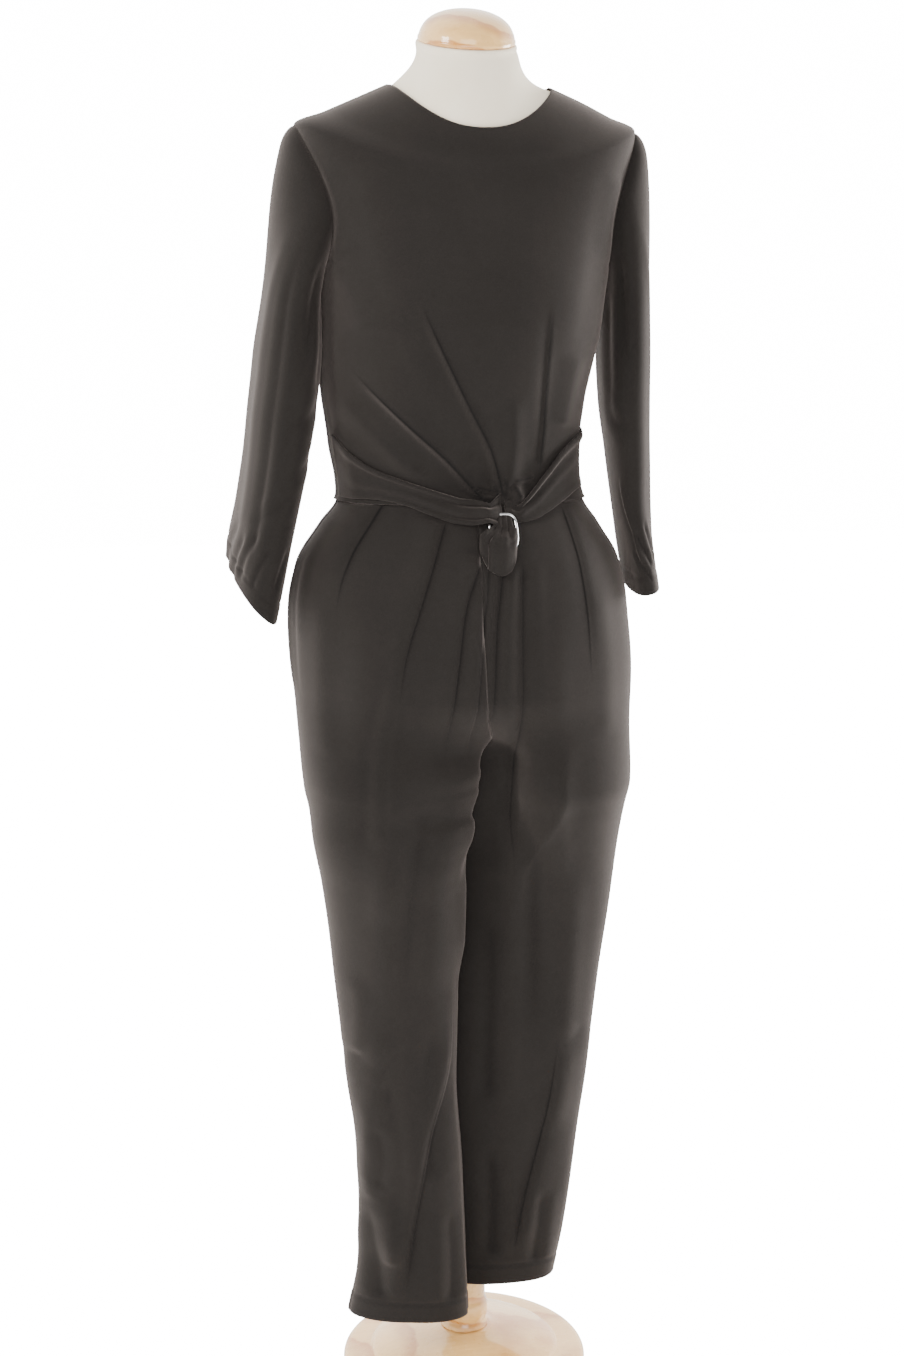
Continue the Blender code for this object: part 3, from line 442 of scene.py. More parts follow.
class Block:
    """The surfaces that every panel lies on: body rings, legs and sleeves."""

    @staticmethod
    def body(alpha: Array, level: Array, face: Face) -> Array:
        """Points of the body.

        Args:
            alpha: 0 at the wearer's right side, pi at the left.
            level: The ring, by its height at the side.
            face: Front or back.

        Returns:
            Points, with x, y and z last.
        """
        alpha, level = np.broadcast_arrays(alpha, level)
        read = partial(RINGS.read, at=level)
        sine = np.maximum(np.sin(alpha), 0.0)
        across, out = -power(np.cos(alpha), 2 / BODY_POWER), sine ** (2 / BODY_POWER)
        far, far_z = read("y_" + face.value), read("z_" + face.value)
        side, side_z = read("y_side"), read("z_side")
        return np.stack((read("centre") + read("half") * across, side + (far - side) * out,
                         side_z + (far_z - side_z) * sine ** 2), axis=-1)

    @staticmethod
    def alpha_at(x: Array, level: Array) -> Array:
        """The angle at which the body's ring has this x."""
        share = np.clip((RINGS.read("centre", level) - x) / RINGS.read("half", level), -1.0, 1.0)
        return np.arccos(power(share, BODY_POWER / 2))

    @staticmethod
    def normal(alpha: Array, level: Array) -> Array:
        """The outward direction of the body's front.

        Args:
            alpha: 0 at the wearer's right side, pi at the left.
            level: The ring.

        Returns:
            Unit vectors.
        """
        alpha, step = np.clip(alpha, 0.03, math.pi - 0.03), 0.01
        at = partial(Block.body, face=Face.FRONT)
        return unit(np.cross(at(alpha + step, level) - at(alpha - step, level),
                             at(alpha, level + step) - at(alpha, level - step)))

    @staticmethod
    def side_x(level: Array, side: Side) -> Array:
        """How far across the body reaches at a height, just short of its side seam."""
        return RINGS.read("centre", level) + side.way * 0.9965 * RINGS.read("half", level)

    @staticmethod
    def armhole(level: Array, face: Face) -> Array:
        """How far the armhole cuts into a panel, as an angle."""
        q = np.clip((level - UNDERARM) / (SHOULDER_TIP - UNDERARM), 0.0, 1.0)
        return ARMHOLE[face] * np.maximum(np.sin(math.pi * q), 0.0) ** 0.65

    @staticmethod
    def armhole_edge(side: Side, psi: Array) -> Array:
        """The armhole's own edge.

        Args:
            side: Which armhole.
            psi: The angle round the sleeve that is set into it.

        Returns:
            Points, with x, y and z last.
        """
        level = UNDERARM + (SHOULDER_TIP - UNDERARM) * (1.0 - np.abs(psi / math.pi - 1.0))
        limits = {face: Block.armhole(level, face) for face in Face}
        front, back = (Block.body(limit if side is Side.RIGHT else math.pi - limit, level, face)
                       for face, limit in limits.items())
        return np.where((psi <= math.pi)[..., None], front, back)

    @staticmethod
    def leg(side: Side, phi: Array, z: Array, face: Face) -> Array:
        """Points of a leg.

        Args:
            side: Which leg.
            phi: 0 at the outer seam, pi at the inner seam.
            z: Height.
            face: Front or back.

        Returns:
            Points, with x, y and z last.
        """
        phi, z = np.broadcast_arrays(phi, z)
        read = partial(LEGS[side].read, at=z)
        outer = np.stack((read("outer_x"), read("outer_y")), axis=-1)
        inner = np.stack((read("inner_x"), read("inner_y")), axis=-1)
        share = np.clip((z - CROTCH) / (RISE_BLEND - CROTCH), 0.0, 1.0)[..., None]
        shared = np.array(CROTCH_POINT) * (1.0 - share) + np.array(RISE_LEAN) * share
        inner = np.where(z[..., None] > CROTCH, shared, inner)
        arm = (outer - inner) / 2
        ahead = unit(np.stack((arm[..., 1], -arm[..., 0]), axis=-1) * np.sign(arm[..., :1]))
        depth = read("front") if face is Face.FRONT else -read("back")
        square = LEG_POWER + (read(face.value + "_power") - LEG_POWER) * ease((0.30 - np.cos(phi)) / 0.60)
        flat = ((outer + inner) / 2 + arm * power(np.cos(phi), 2 / square)[..., None]
                + ahead * (depth * np.maximum(np.sin(phi), 0.0) ** (2 / square))[..., None])
        return np.concatenate((flat, z[..., None]), axis=-1)

    @staticmethod
    def trousers(side: Side, u: Array, z: Array, face: Face) -> Array:
        """Points of the trousers: the body above, blended into a leg below.

        Args:
            side: Which leg.
            u: 0 at the side seam, 1 at the centre or the inner seam.
            z: Height.
            face: Front or back.

        Returns:
            Points, with x, y and z last.
        """
        u, z = np.broadcast_arrays(u, z)
        alpha = u * math.pi / 2 if side is Side.RIGHT else math.pi - u * math.pi / 2
        hip = Block.body(alpha, np.maximum(z, CROTCH), face)
        low = Block.leg(side, u * math.pi, np.minimum(z, RISE_BLEND), face)
        blend = rise(z, RISE_BLEND, CROTCH - RISE_BLEND)[..., None]
        point = hip * (1.0 - blend) + low * blend
        x, y = point[..., 0].copy(), point[..., 1]
        share = LEAN * rise(z, RISE_BLEND, -0.08) * rise(z, 0.625, 0.09)
        apart = rise(y, -0.042, -0.040) + rise(y, 0.030, 0.045)
        point[..., 0] = x + share * apart * bell(x, -0.030, 0.070)
        point[..., 2] = z
        return point

    @staticmethod
    def cuff(side: Side, psi: Array, z: Array) -> Array:
        """Points of a sleeve's lower tube.

        Args:
            side: Which sleeve.
            psi: 0 next to the body, a quarter turn in front.
            z: Height.

        Returns:
            Points, with x, y and z last.
        """
        read = partial(SLEEVES[side].read, at=z)
        turn = np.radians(read("turn"))
        out = -power(np.cos(psi), 2 / CUFF_POWER) * read("thin")
        ahead = power(np.sin(psi), 2 / CUFF_POWER) * read("deep")
        return np.stack((read("x") + side.way * (out * np.cos(turn) - ahead * np.sin(turn)),
                         read("y") - ahead * np.cos(turn) - out * np.sin(turn),
                         z + read("slope") * (0.8 * out - 0.35 * ahead)), axis=-1)


# ------------------------------------------------------------------ the shells
@dataclass(frozen=True)
class Cut:
    """The size that what shows of a piece was cut to, in metres, and what holds it."""

    width: float
    length: float
    area: float
    held: str
    rests_on: tuple[str, ...]


def plain(u: Array, v: Array, g: Array) -> Array:
    """The relief of a piece whose folds are in its surface."""
    return np.zeros(u.shape)


@dataclass
class Shell:
    """One cut piece of cloth as a thin shell.

    node: The solid that it stands for.
    cut: Its size before it was sewn.
    place: Gives the surface's points for two grids of parameters.
    relief: Gives how far the cloth stands out of the surface there.
    across: The parameter's values along a row.
    down: The parameter's values down the rows, from the top.
    outward: The sign that makes the grid's normals point out of the garment.
    seams: The edges that are sewn.
    closed: True for a tube.
    hem: How deep the bottom edge is turned up inside.
    folds: The folds whose crisp edges the cloth shows, with a bump and a painted dark line.
    """

    node: str
    cut: Cut
    place: Callable[[Array, Array], Array]
    relief: Callable[[Array, Array, Array], Array]
    across: Array
    down: Array
    outward: float = 1.0
    seams: tuple[Seam, ...] = ()
    closed: bool = False
    hem: float = 0.0
    folds: tuple[Crease, ...] = ()
    thickness: float = 0.0011
    seam_dip: float = 0.0010
    seam_reach: float = 0.0030
    hem_dip: float = 0.0007
    hem_dip_width: float = 0.0018
    hem_rise: float = 0.0004
    hem_rise_length: float = 0.004
    hem_gap: float = 0.0006
    # the reach and depth of the mark that the crepe's painted shade in the folds is drawn by
    fold_shade_reach: int = 7
    fold_shade_depth: float = 0.0011
    marks: dict[str, Array] = field(init=False, default_factory=dict)

    def normals(self, g: Array) -> Array:
        """The unit normals of a grid of points.

        Args:
            g: The points, by row and column.

        Returns:
            A vector for each point.
        """
        along = np.roll(g, -1, axis=1) - np.roll(g, 1, axis=1) if self.closed else np.gradient(g, axis=1)
        return unit(np.cross(along, np.gradient(g, axis=0)) * self.outward)

    def seam_distance(self, g: Array, seam: Seam) -> Array:
        """How far each point lies from an edge, along the grid.

        Args:
            g: The points, by row and column.
            seam: The edge.

        Returns:
            A distance for each point.
        """
        axis = 0 if seam in (Seam.TOP, Seam.BOTTOM) else 1
        far = seam in (Seam.BOTTOM, Seam.END)
        steps = np.linalg.norm(np.diff(g, axis=axis), axis=2)
        run = np.cumsum(np.flip(steps, axis=axis) if far else steps, axis=axis)
        run = np.pad(run, ((1, 0), (0, 0)) if axis == 0 else ((0, 0), (1, 0)))
        return np.flip(run, axis=axis) if far else run

    def fold_shade_mask(self, height: Array) -> Array:
        """How deep each point lies below the cloth around it, which the crepe's painted fold shade follows.

        Args:
            height: The relief at each point.

        Returns:
            0 level with its surroundings, 1 at the bottom of a fold.
        """
        near = height
        for _ in range(self.fold_shade_reach):
            wide = np.pad(near, 1, mode="edge")
            near = (wide[:-2, 1:-1] + wide[2:, 1:-1] + wide[1:-1, :-2] + wide[1:-1, 2:] + 2 * near) / 6
        return np.clip((near - height) / self.fold_shade_depth, 0.0, 1.0)

    def shape(self) -> Array:
        """Lays the grid on its surface, works in the folds, then sinks the seams.

        Returns:
            The points of the cloth's outer face, by row and column.
        """
        v, u = np.meshgrid(self.down, self.across, indexing="ij")
        g = self.place(u, v)
        height = self.relief(u, v, g)
        near, crisp = edges_of(self.folds, g[..., 0], g[..., 2])
        # the crease mark drives the painted shade in the folds; near and crisp drive the painted dark fold
        # lines and the folds' bump
        self.marks = {"crease": self.fold_shade_mask(height), "near": near, "crisp": crisp}
        g = g + self.normals(g) * height[..., None]
        dip = np.zeros(g.shape[:2])
        for seam in self.seams:
            dip = np.maximum(dip, self.seam_dip * bell(self.seam_distance(g, seam), 0.0, self.seam_reach))
        if self.hem > 0.0:
            low = self.seam_distance(g, Seam.BOTTOM)
            dip = np.maximum(dip, self.hem_dip * bell(low, self.hem, self.hem_dip_width))
            dip = dip - self.hem_rise * rise(low, self.hem, -self.hem_rise_length)
        g = g - self.normals(g) * dip[..., None]
        return self.turned_up(g) if self.hem > 0.0 else g

    def turned_up(self, g: Array) -> Array:
        """Adds the rows of a hem that is turned up inside the piece.

        Args:
            g: The points, by row and column.

        Returns:
            The points with the hem's rows below them.
        """
        n = self.normals(g)
        low = self.seam_distance(g, Seam.BOTTOM)
        rows = [k for k in range(g.shape[0] - 1, -1, -1) if low[k].mean() < self.hem]
        gap = self.thickness + self.hem_gap
        rim = g[-1] - n[-1] * gap / 2 + unit(g[-1] - g[-2]) * gap / 2
        inner = [g[k] - n[k] * gap for k in rows]
        return np.concatenate((g, rim[None], np.stack(inner)), axis=0)

    def build(self, material: bpy.types.Material) -> bpy.types.Object:
        """Makes the shell's object.

        Args:
            material: The cloth.

        Returns:
            The finished sheet, standing for its solid.
        """
        g = self.shape()
        rows, cols = g.shape[:2]
        wide = cols if self.closed else cols - 1
        mesh = bmesh.new()
        bmesh.ops.create_grid(mesh, x_segments=wide, y_segments=rows - 1, size=0.5)
        for name in self.marks:
            mesh.verts.layers.float.new(name)
        layers = [(mesh.verts.layers.float[name],
                   np.pad(values, ((0, rows - len(values)), (0, 0)), mode="edge"))
                  for name, values in self.marks.items()]
        for vert in mesh.verts:
            i, j = round((0.5 - vert.co.y) * (rows - 1)), round((vert.co.x + 0.5) * wide) % cols
            vert.co = Vector(g[i, j])
            for layer, values in layers:
                vert[layer] = values[i, j]
        if self.closed:
            bmesh.ops.remove_doubles(mesh, verts=mesh.verts, dist=1e-6)
        obj = finish_mesh(f"{self.node}_cloth", mesh, material)
        face = obj.data.polygons[(rows // 2) * wide // 2]
        nearest = int(np.argmin(np.linalg.norm(g.reshape(-1, 3) - np.array(face.center), axis=1)))
        if float(np.array(face.normal) @ self.normals(g).reshape(-1, 3)[nearest]) < 0.0:
            obj.data.flip_normals()
        wall = obj.modifiers.new("wall", "SOLIDIFY")
        wall.thickness = self.thickness
        wall.offset = -1.0
        stand_for(obj, self.node)
        list(self.cut.rests_on)
        return obj


def finish_mesh(name: str, mesh: bmesh.types.BMesh, material: bpy.types.Material) -> bpy.types.Object:
    """Turns a bmesh into a smooth shaded object in the scene.

    Args:
        name: The object's name.
        mesh: The bmesh, which is freed.
        material: Its finish.

    Returns:
        The object, at the origin.
    """
    data = bpy.data.meshes.new(name)
    mesh.to_mesh(data)
    mesh.free()
    data.shade_smooth()
    data.materials.append(material)
    obj = bpy.data.objects.new(name, data)
    bpy.context.scene.collection.objects.link(obj)
    return obj


def stand_for(obj: bpy.types.Object, node: str) -> None:
    """Puts a piece in its solid's place.

    Args:
        obj: The piece.
        node: The solid.
    """
    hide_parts(node)
    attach(obj, "root")


def belt_clearance(x: Array, z: Array) -> Array:
    """Where the cloth may stand out beside the belt and the ring.

    Args:
        x: Across, in metres.
        z: Up, in metres.

    Returns:
        0 under them, 1 a little away from them.
    """
    right, left = x <= BELT_RIGHT_EDGES.rows[-1][0], x >= BELT_LEFT_EDGES.rows[0][0]
    top, bottom = (np.where(right, BELT_RIGHT_EDGES.read(edge, x), BELT_LEFT_EDGES.read(edge, x))
                   for edge in ("top", "bottom"))
    knot = ~(right | left)
    top, bottom = np.where(knot, KNOT_TOP, top), np.where(knot, KNOT_BOTTOM, bottom)
    return ease(np.maximum(z - top + BELT_MARGIN, bottom + BELT_MARGIN - z) / BELT_FADE)


# ------------------------------------------------------------------ the folds
c = Crease  # a short name, so that most folds keep to one line

BODICE_CREASES = (
    c(((-7.3, 126.4), (-6.2, 123.6), (-4.0, 119.2), (-1.4, 114.4), (0.9, 110.5), (2.0, 107.6), (2.3, 104.6)),
      4.0, 8.2, 11.0, Lie.TUCK, fade_in=0.26, fade_out=0.06),
    c(((-14.0, 119.4), (-11.7, 116.6), (-7.6, 112.6), (-3.5, 109.0), (-0.6, 105.8), (1.2, 103.8)),
      3.8, 7.2, 10.0, Lie.TUCK, fade_in=0.28, fade_out=0.06),
    c(((-15.0, 116.4), (-12.8, 113.6), (-10.2, 110.9), (-8.4, 109.0), (-6.0, 107.6)), 1.9, 3.2, 9.0),
    c(((-12.0, 124.0), (-8.6, 118.2), (-5.2, 113.4), (-1.6, 109.2)), 2.2, 3.5, 15.0, Lie.RIDGE),
    c(((7.0, 126.6), (6.9, 123.3), (6.9, 118.2), (7.0, 113.2), (6.7, 108.2)), 1.8, 3.0, 4.6, Lie.TUCK,
      fade_in=0.30, fade_out=0.06),
    c(((10.6, 121.0), (9.8, 116.6), (9.2, 112.4)), 2.2, 3.0, 12.0),
    c(((3.0, 116.5), (3.4, 112.0), (3.2, 108.0), (2.9, 105.6)), 1.6, 5.1, 10.0),
    c(((1.55, 107.0), (1.7, 105.4), (1.8, 103.9)), 2.7, 5.7, 3.6, Lie.DRAW),
    c(((2.6, 107.2), (2.55, 105.6), (2.4, 103.9)), 2.7, 5.4, 3.4, Lie.DRAW),
    c(((3.2, 106.6), (3.9, 105.6), (4.6, 104.4)), 8.8, 8.1, 8.5, Lie.DRAW, fade_in=0.25),
    c(((3.2, 106.9), (4.6, 107.1), (6.0, 107.4)), 3.2, 3.0, 4.5, Lie.DRAW),
    c(((-1.6, 105.3), (0.2, 105.1), (1.6, 105.0)), 2.2, 3.5, 3.4, Lie.DRAW),
    c(((-1.0, 106.5), (0.8, 106.0), (2.0, 105.9)), 1.6, 2.7, 3.4, Lie.DRAW),
    c(((-15.4, 131.0), (-13.6, 127.0), (-12.2, 122.5)), 2.2, 1.6, 13.0),
    c(((15.2, 131.0), (13.8, 126.0), (13.0, 121.0)), 2.4, 1.6, 12.0),
    c(((-16.6, 140.5), (-15.2, 134.5), (-14.8, 130.0)), 1.9, 2.2, 12.0),
    c(((16.4, 140.0), (15.2, 134.5), (14.6, 130.0)), 1.9, 2.2, 12.0),
    c(((-4.5, 142.0), (-2.5, 134.0), (-1.8, 127.0)), 1.1, 0.8, 26.0),
    c(((6.2, 142.0), (5.2, 134.0), (4.4, 128.0)), 1.1, 0.8, 24.0),
)

TROUSER_CREASES = (
    c(((-10.2, 104.9), (-11.8, 102.6), (-13.9, 99.6), (-15.3, 96.3), (-15.9, 92.5)), 4.4, 2.7, 9.0, Lie.TUCK,
      fade_in=0.06, fade_out=0.5),
    c(((-4.1, 102.8), (-5.3, 99.6), (-6.1, 97.2), (-7.5, 93.0), (-8.9, 88.5), (-9.7, 82.0)), 5.8, 3.0, 10.0,
      Lie.TUCK, fade_in=0.04, fade_out=0.45, spread=1.5),
    c(((-0.5, 99.4), (-1.3, 96.7), (-2.2, 95.0), (-2.5, 93.6), (-3.4, 86.0), (-4.6, 76.0)), 5.0, 1.9, 7.5,
      Lie.TUCK, fade_in=0.05, fade_out=0.4, spread=1.7),
    c(((0.1, 99.0), (0.0, 95.3), (-0.5, 92.4), (-1.0, 85.0), (-1.8, 76.0)), 4.8, 3.2, 6.0, Lie.TUCK,
      fade_in=0.05, fade_out=0.3, spread=1.5),
    c(((1.9, 98.6), (1.5, 95.3), (1.0, 92.2), (0.7, 84.0), (0.4, 77.0)), 3.7, 1.9, 6.0, Lie.VALLEY,
      fade_in=0.05, fade_out=0.4, spread=1.6, sharp=0.8),
    c(((4.0, 99.0), (3.9, 94.0), (3.9, 84.0), (4.0, 74.0), (4.0, 60.0)), 2.9, 2.5, 8.0, Lie.VALLEY,
      fade_in=0.06, spread=1.8, fade_out=0.4, sharp=0.7),
    c(((9.2, 104.2), (10.6, 99.0), (11.6, 92.0), (12.2, 84.0)), 3.9, 1.6, 11.0, Lie.TUCK, mirror=True,
      fade_in=0.08, fade_out=0.5),
    c(((-12.5, 95.0), (-13.4, 86.0), (-13.6, 76.0)), 2.4, 1.9, 15.0, Lie.RIDGE),
    c(((-9.2, 88.0), (-11.0, 81.5), (-12.2, 74.5), (-12.0, 67.0)), 2.6, 3.4, 9.0, Lie.RIDGE),
    c(((-8.4, 90.0), (-10.6, 82.0), (-11.6, 72.0), (-11.4, 58.0)), 2.2, 2.5, 17.0, Lie.RIDGE),
    c(((-17.0, 95.4), (-17.4, 86.0), (-17.2, 76.6)), 2.4, 1.9, 9.0, Lie.RIDGE),
    c(((12.8, 97.0), (14.2, 88.0), (14.4, 78.0)), 2.0, 1.6, 13.0, Lie.RIDGE),
    c(((7.6, 96.0), (8.0, 86.0), (8.2, 74.0), (7.6, 56.0)), 2.2, 2.0, 16.0, Lie.RIDGE),
)

LEG_CREASES = {
    Side.RIGHT: (
        c(((-6.4, 74.0), (-8.0, 66.0), (-8.8, 56.0), (-8.6, 45.0)), 4.4, 4.1, 16.0, fade_out=0.4),
        c(((-3.2, 51.0), (-3.2, 46.0), (-3.1, 41.5), (-5.4, 33.5), (-7.4, 21.9), (-8.4, 13.5)),
          3.4, 7.5, 11.0, Lie.TUCK, fade_in=0.3, fade_out=0.15),
        c(((-11.8, 52.0), (-12.2, 40.0), (-11.2, 28.0), (-10.6, 16.0)), 3.7, 4.4, 14.0, Lie.RIDGE),
        c(((-5.6, 47.0), (-6.4, 38.0), (-5.4, 27.0)), 2.7, 3.4, 13.0),
        c(((-13.2, 37.5), (-12.4, 33.0), (-12.9, 28.5), (-11.9, 24.0)), 1.8, 2.4, 7.0, Lie.RIDGE),
        c(((-11.6, 34.0), (-10.8, 30.0), (-11.3, 26.0)), 1.6, 2.0, 7.0),
        c(((-14.0, 52.0), (-13.4, 47.0), (-13.8, 42.0)), 1.6, 2.2, 8.0, Lie.RIDGE),
        c(((-10.2, 25.0), (-9.6, 20.5), (-10.0, 16.5)), 1.5, 2.2, 7.0, Lie.RIDGE),
        c(((-12.4, 24.0), (-11.4, 18.0), (-11.2, 12.0)), 2.7, 3.7, 9.0),
        c(((-3.4, 24.0), (-3.0, 17.0), (-3.2, 11.5)), 2.4, 3.7, 9.0),
        c(((-14.2, 43.0), (-12.6, 41.0), (-10.4, 40.2)), 1.3, 1.5, 13.0),
        c(((-13.6, 39.6), (-11.8, 38.2), (-9.8, 38.0)), 1.0, 1.2, 12.0),
    ),
    Side.LEFT: (
        c(((5.4, 72.0), (6.2, 62.0), (6.8, 50.0), (6.6, 40.0)), 4.1, 4.1, 16.0, fade_out=0.4),
        c(((10.8, 66.0), (11.0, 54.0), (10.2, 42.0), (8.8, 30.0)), 3.4, 4.1, 15.0, Lie.RIDGE),
        c(((9.6, 43.0), (8.6, 33.0), (6.2, 23.0), (5.0, 15.5)), 3.4, 6.1, 11.0, Lie.TUCK, mirror=True,
          fade_in=0.3, fade_out=0.15),
        c(((1.8, 60.0), (2.0, 46.0), (1.8, 34.0)), 2.7, 3.1, 12.0),
        c(((2.2, 30.0), (2.6, 22.0), (2.4, 15.0)), 2.7, 4.1, 10.0),
        c(((8.4, 24.0), (7.9, 18.5), (7.6, 14.0)), 2.4, 3.1, 8.0),
        c(((13.0, 44.0), (11.6, 42.2), (9.6, 41.6)), 1.2, 1.4, 13.0),
    ),
}

BACK_BODICE_CREASES = (
    c(((-7.6, 124.5), (-7.4, 118.0), (-7.0, 111.0), (-6.9, 105.2)), 1.7, 7.3, 11.0, fade_in=0.4,
      fade_out=0.05),
    c(((6.6, 124.0), (6.4, 118.0), (6.2, 111.0), (6.1, 105.2)), 1.7, 7.0, 11.0, fade_in=0.4, fade_out=0.05),
    c(((-12.4, 112.6), (-8.2, 110.4), (-3.6, 109.4)), 2.5, 2.0, 9.0, fade_out=0.4),
    c(((11.4, 111.8), (7.2, 109.6), (3.2, 108.8)), 2.4, 2.0, 9.0, fade_out=0.4),
    c(((-12.8, 108.6), (-8.4, 107.2), (-2.8, 106.8)), 2.2, 1.7, 7.0, fade_out=0.4),
    c(((12.0, 108.4), (7.8, 107.0), (2.6, 106.4)), 2.1, 1.7, 7.0, fade_out=0.4),
    c(((-15.6, 136.0), (-14.0, 129.0), (-11.6, 121.0)), 2.8, 1.7, 13.0),
    c(((15.4, 136.5), (14.0, 129.0), (11.8, 122.0)), 2.8, 1.7, 13.0),
    c(((-9.8, 144.0), (-8.6, 136.0), (-8.8, 128.0)), 1.1, 1.4, 20.0),
    c(((9.2, 144.0), (8.4, 136.0), (8.6, 129.0)), 1.1, 1.4, 20.0),
)

BACK_TROUSER_CREASES = (
    c(((-7.2, 104.2), (-7.6, 98.0), (-8.4, 90.0), (-8.8, 82.0)), 7.5, 1.8, 10.0, fade_in=0.05, fade_out=0.5),
    c(((6.4, 104.2), (6.8, 98.0), (7.8, 90.0), (8.2, 82.0)), 7.5, 1.8, 10.0, fade_in=0.05, fade_out=0.5),
    c(((-12.2, 103.0), (-13.0, 96.0), (-13.8, 89.0)), 3.6, 1.8, 10.0, fade_in=0.08, fade_out=0.5),
    c(((11.2, 103.0), (12.4, 96.0), (13.2, 89.0)), 3.6, 1.8, 10.0, fade_in=0.08, fade_out=0.5),
    c(((-15.6, 80.0), (-12.2, 77.0), (-8.2, 75.6)), 3.0, 2.1, 11.0, fade_out=0.4),
    c(((15.4, 80.5), (12.0, 77.2), (8.0, 75.4)), 3.0, 2.1, 11.0, fade_out=0.4),
    c(((-15.2, 76.0), (-11.6, 72.6), (-8.4, 71.2)), 2.7, 2.1, 10.0, fade_out=0.4),
    c(((15.0, 75.6), (11.8, 72.4), (8.6, 70.8)), 2.7, 2.1, 10.0, fade_out=0.4),
    c(((-9.4, 70.0), (-9.6, 58.0), (-8.8, 44.0), (-8.4, 30.0)), 3.3, 4.5, 15.0),
    c(((8.8, 70.0), (8.4, 58.0), (7.4, 44.0), (5.4, 30.0)), 3.3, 4.5, 15.0),
    c(((-12.6, 40.0), (-11.6, 28.0), (-11.4, 15.0)), 2.7, 3.6, 12.0),
    c(((9.4, 42.0), (8.4, 30.0), (7.2, 17.0)), 2.7, 3.6, 12.0),
    c(((-4.6, 40.0), (-4.2, 28.0), (-4.0, 15.0)), 2.4, 3.3, 11.0),
    c(((2.4, 44.0), (1.8, 30.0), (1.6, 17.0)), 2.4, 3.3, 11.0),
)

SLEEVE_CREASES = {
    Side.RIGHT: (
        c(((11.5, 136.0), (13.6, 126.0), (14.4, 112.0), (14.0, 100.0)), 1.7, 2.5, 10.0, Lie.RIDGE),
        c(((9.2, 134.0), (10.4, 122.0), (11.2, 110.0), (11.0, 98.0)), 1.5, 2.1, 8.0),
        c(((5.0, 131.0), (6.2, 124.0), (7.8, 116.0)), 2.8, 1.5, 10.0, fade_out=0.4),
        c(((2.2, 128.0), (3.4, 121.0), (4.6, 114.0)), 2.8, 1.5, 9.0, fade_out=0.4),
        c(((30.5, 130.0), (28.0, 122.0), (26.4, 112.0)), 2.3, 1.5, 11.0, fade_out=0.4),
        c(((2.0, 116.0), (5.2, 113.6), (8.8, 112.8)), 1.9, 1.3, 9.0, fade_out=0.4),
        c(((1.6, 110.4), (4.8, 108.2), (8.0, 107.8)), 1.7, 1.3, 8.0, fade_out=0.4),
        c(((6.2, 106.0), (9.2, 103.4), (12.6, 102.6)), 1.5, 1.3, 8.0, fade_out=0.4),
        c(((10.2, 102.0), (12.6, 99.0), (13.4, 96.4)), 1.7, 1.9, 5.5),
        c(((12.8, 101.4), (14.6, 98.6), (15.2, 96.2)), 1.6, 1.9, 4.5),
        c(((8.0, 100.2), (9.6, 97.6), (10.6, 95.8)), 1.5, 1.7, 5.0),
        c(((14.8, 103.0), (16.6, 99.6), (17.0, 96.4)), 1.5, 1.7, 5.0),
        c(((4.8, 100.0), (6.0, 97.4), (6.6, 95.2)), 1.3, 1.5, 5.5),
        c(((24.0, 108.0), (22.0, 104.0), (20.6, 98.0)), 1.7, 1.7, 9.0),
        c(((27.5, 116.0), (24.0, 113.4), (20.0, 112.4)), 1.7, 1.5, 10.0, fade_out=0.4),
    ),
    Side.LEFT: (
        c(((11.0, 136.0), (12.8, 124.0), (13.6, 112.0), (13.2, 100.0)), 1.5, 2.1, 9.0, Lie.RIDGE),
        c(((5.2, 132.0), (6.4, 124.0), (7.6, 116.0)), 2.3, 1.5, 10.0, fade_out=0.4),
        c(((2.2, 128.0), (3.0, 120.0), (4.2, 112.0)), 2.3, 1.5, 9.0, fade_out=0.4),
        c(((4.2, 107.0), (5.4, 103.6), (6.8, 100.4), (7.0, 97.0)), 2.5, 2.1, 5.5, Lie.TUCK, mirror=True),
        c(((7.2, 101.2), (8.4, 98.6), (9.8, 97.2)), 2.1, 1.7, 4.5),
        c(((9.6, 102.2), (10.6, 99.4), (11.8, 97.2)), 1.7, 1.7, 4.5),
        c(((5.8, 99.0), (7.6, 96.8), (9.2, 95.6)), 1.5, 1.5, 4.0),
        c(((2.0, 115.0), (5.0, 112.8), (8.4, 112.0)), 1.5, 1.1, 9.0, fade_out=0.4),
        c(((30.0, 130.0), (27.6, 122.0), (26.0, 112.0)), 2.1, 1.5, 11.0, fade_out=0.4),
        c(((26.5, 114.0), (23.4, 112.0), (19.6, 111.4)), 1.6, 1.4, 10.0, fade_out=0.4),
        c(((23.6, 106.0), (21.6, 102.0), (20.4, 97.0)), 1.6, 1.7, 8.0),
        c(((14.6, 104.0), (15.8, 100.4), (16.0, 96.8)), 1.4, 1.6, 5.0),
    ),
}

HANG = ((0.31, 0.53, 0.0011, 0.4), (0.17, 0.29, 0.0006, 2.1), (0.093, 0.21, 0.0003, 4.4))
OVERLAPS = {
    Side.RIGHT: (Roll(0.745, 0.016, 0.008), Roll(0.690, 0.020, 0.011), Roll(0.652, 0.025, 0.005)),
    Side.LEFT: (Roll(0.700, 0.045, 0.008),),
}
OVERLAP_REACH = {Side.RIGHT: (0.55, 0.08), Side.LEFT: (0.40, 0.15)}
POCKETS = {Side.RIGHT: (0.995, 0.832), Side.LEFT: (1.012, 0.845)}


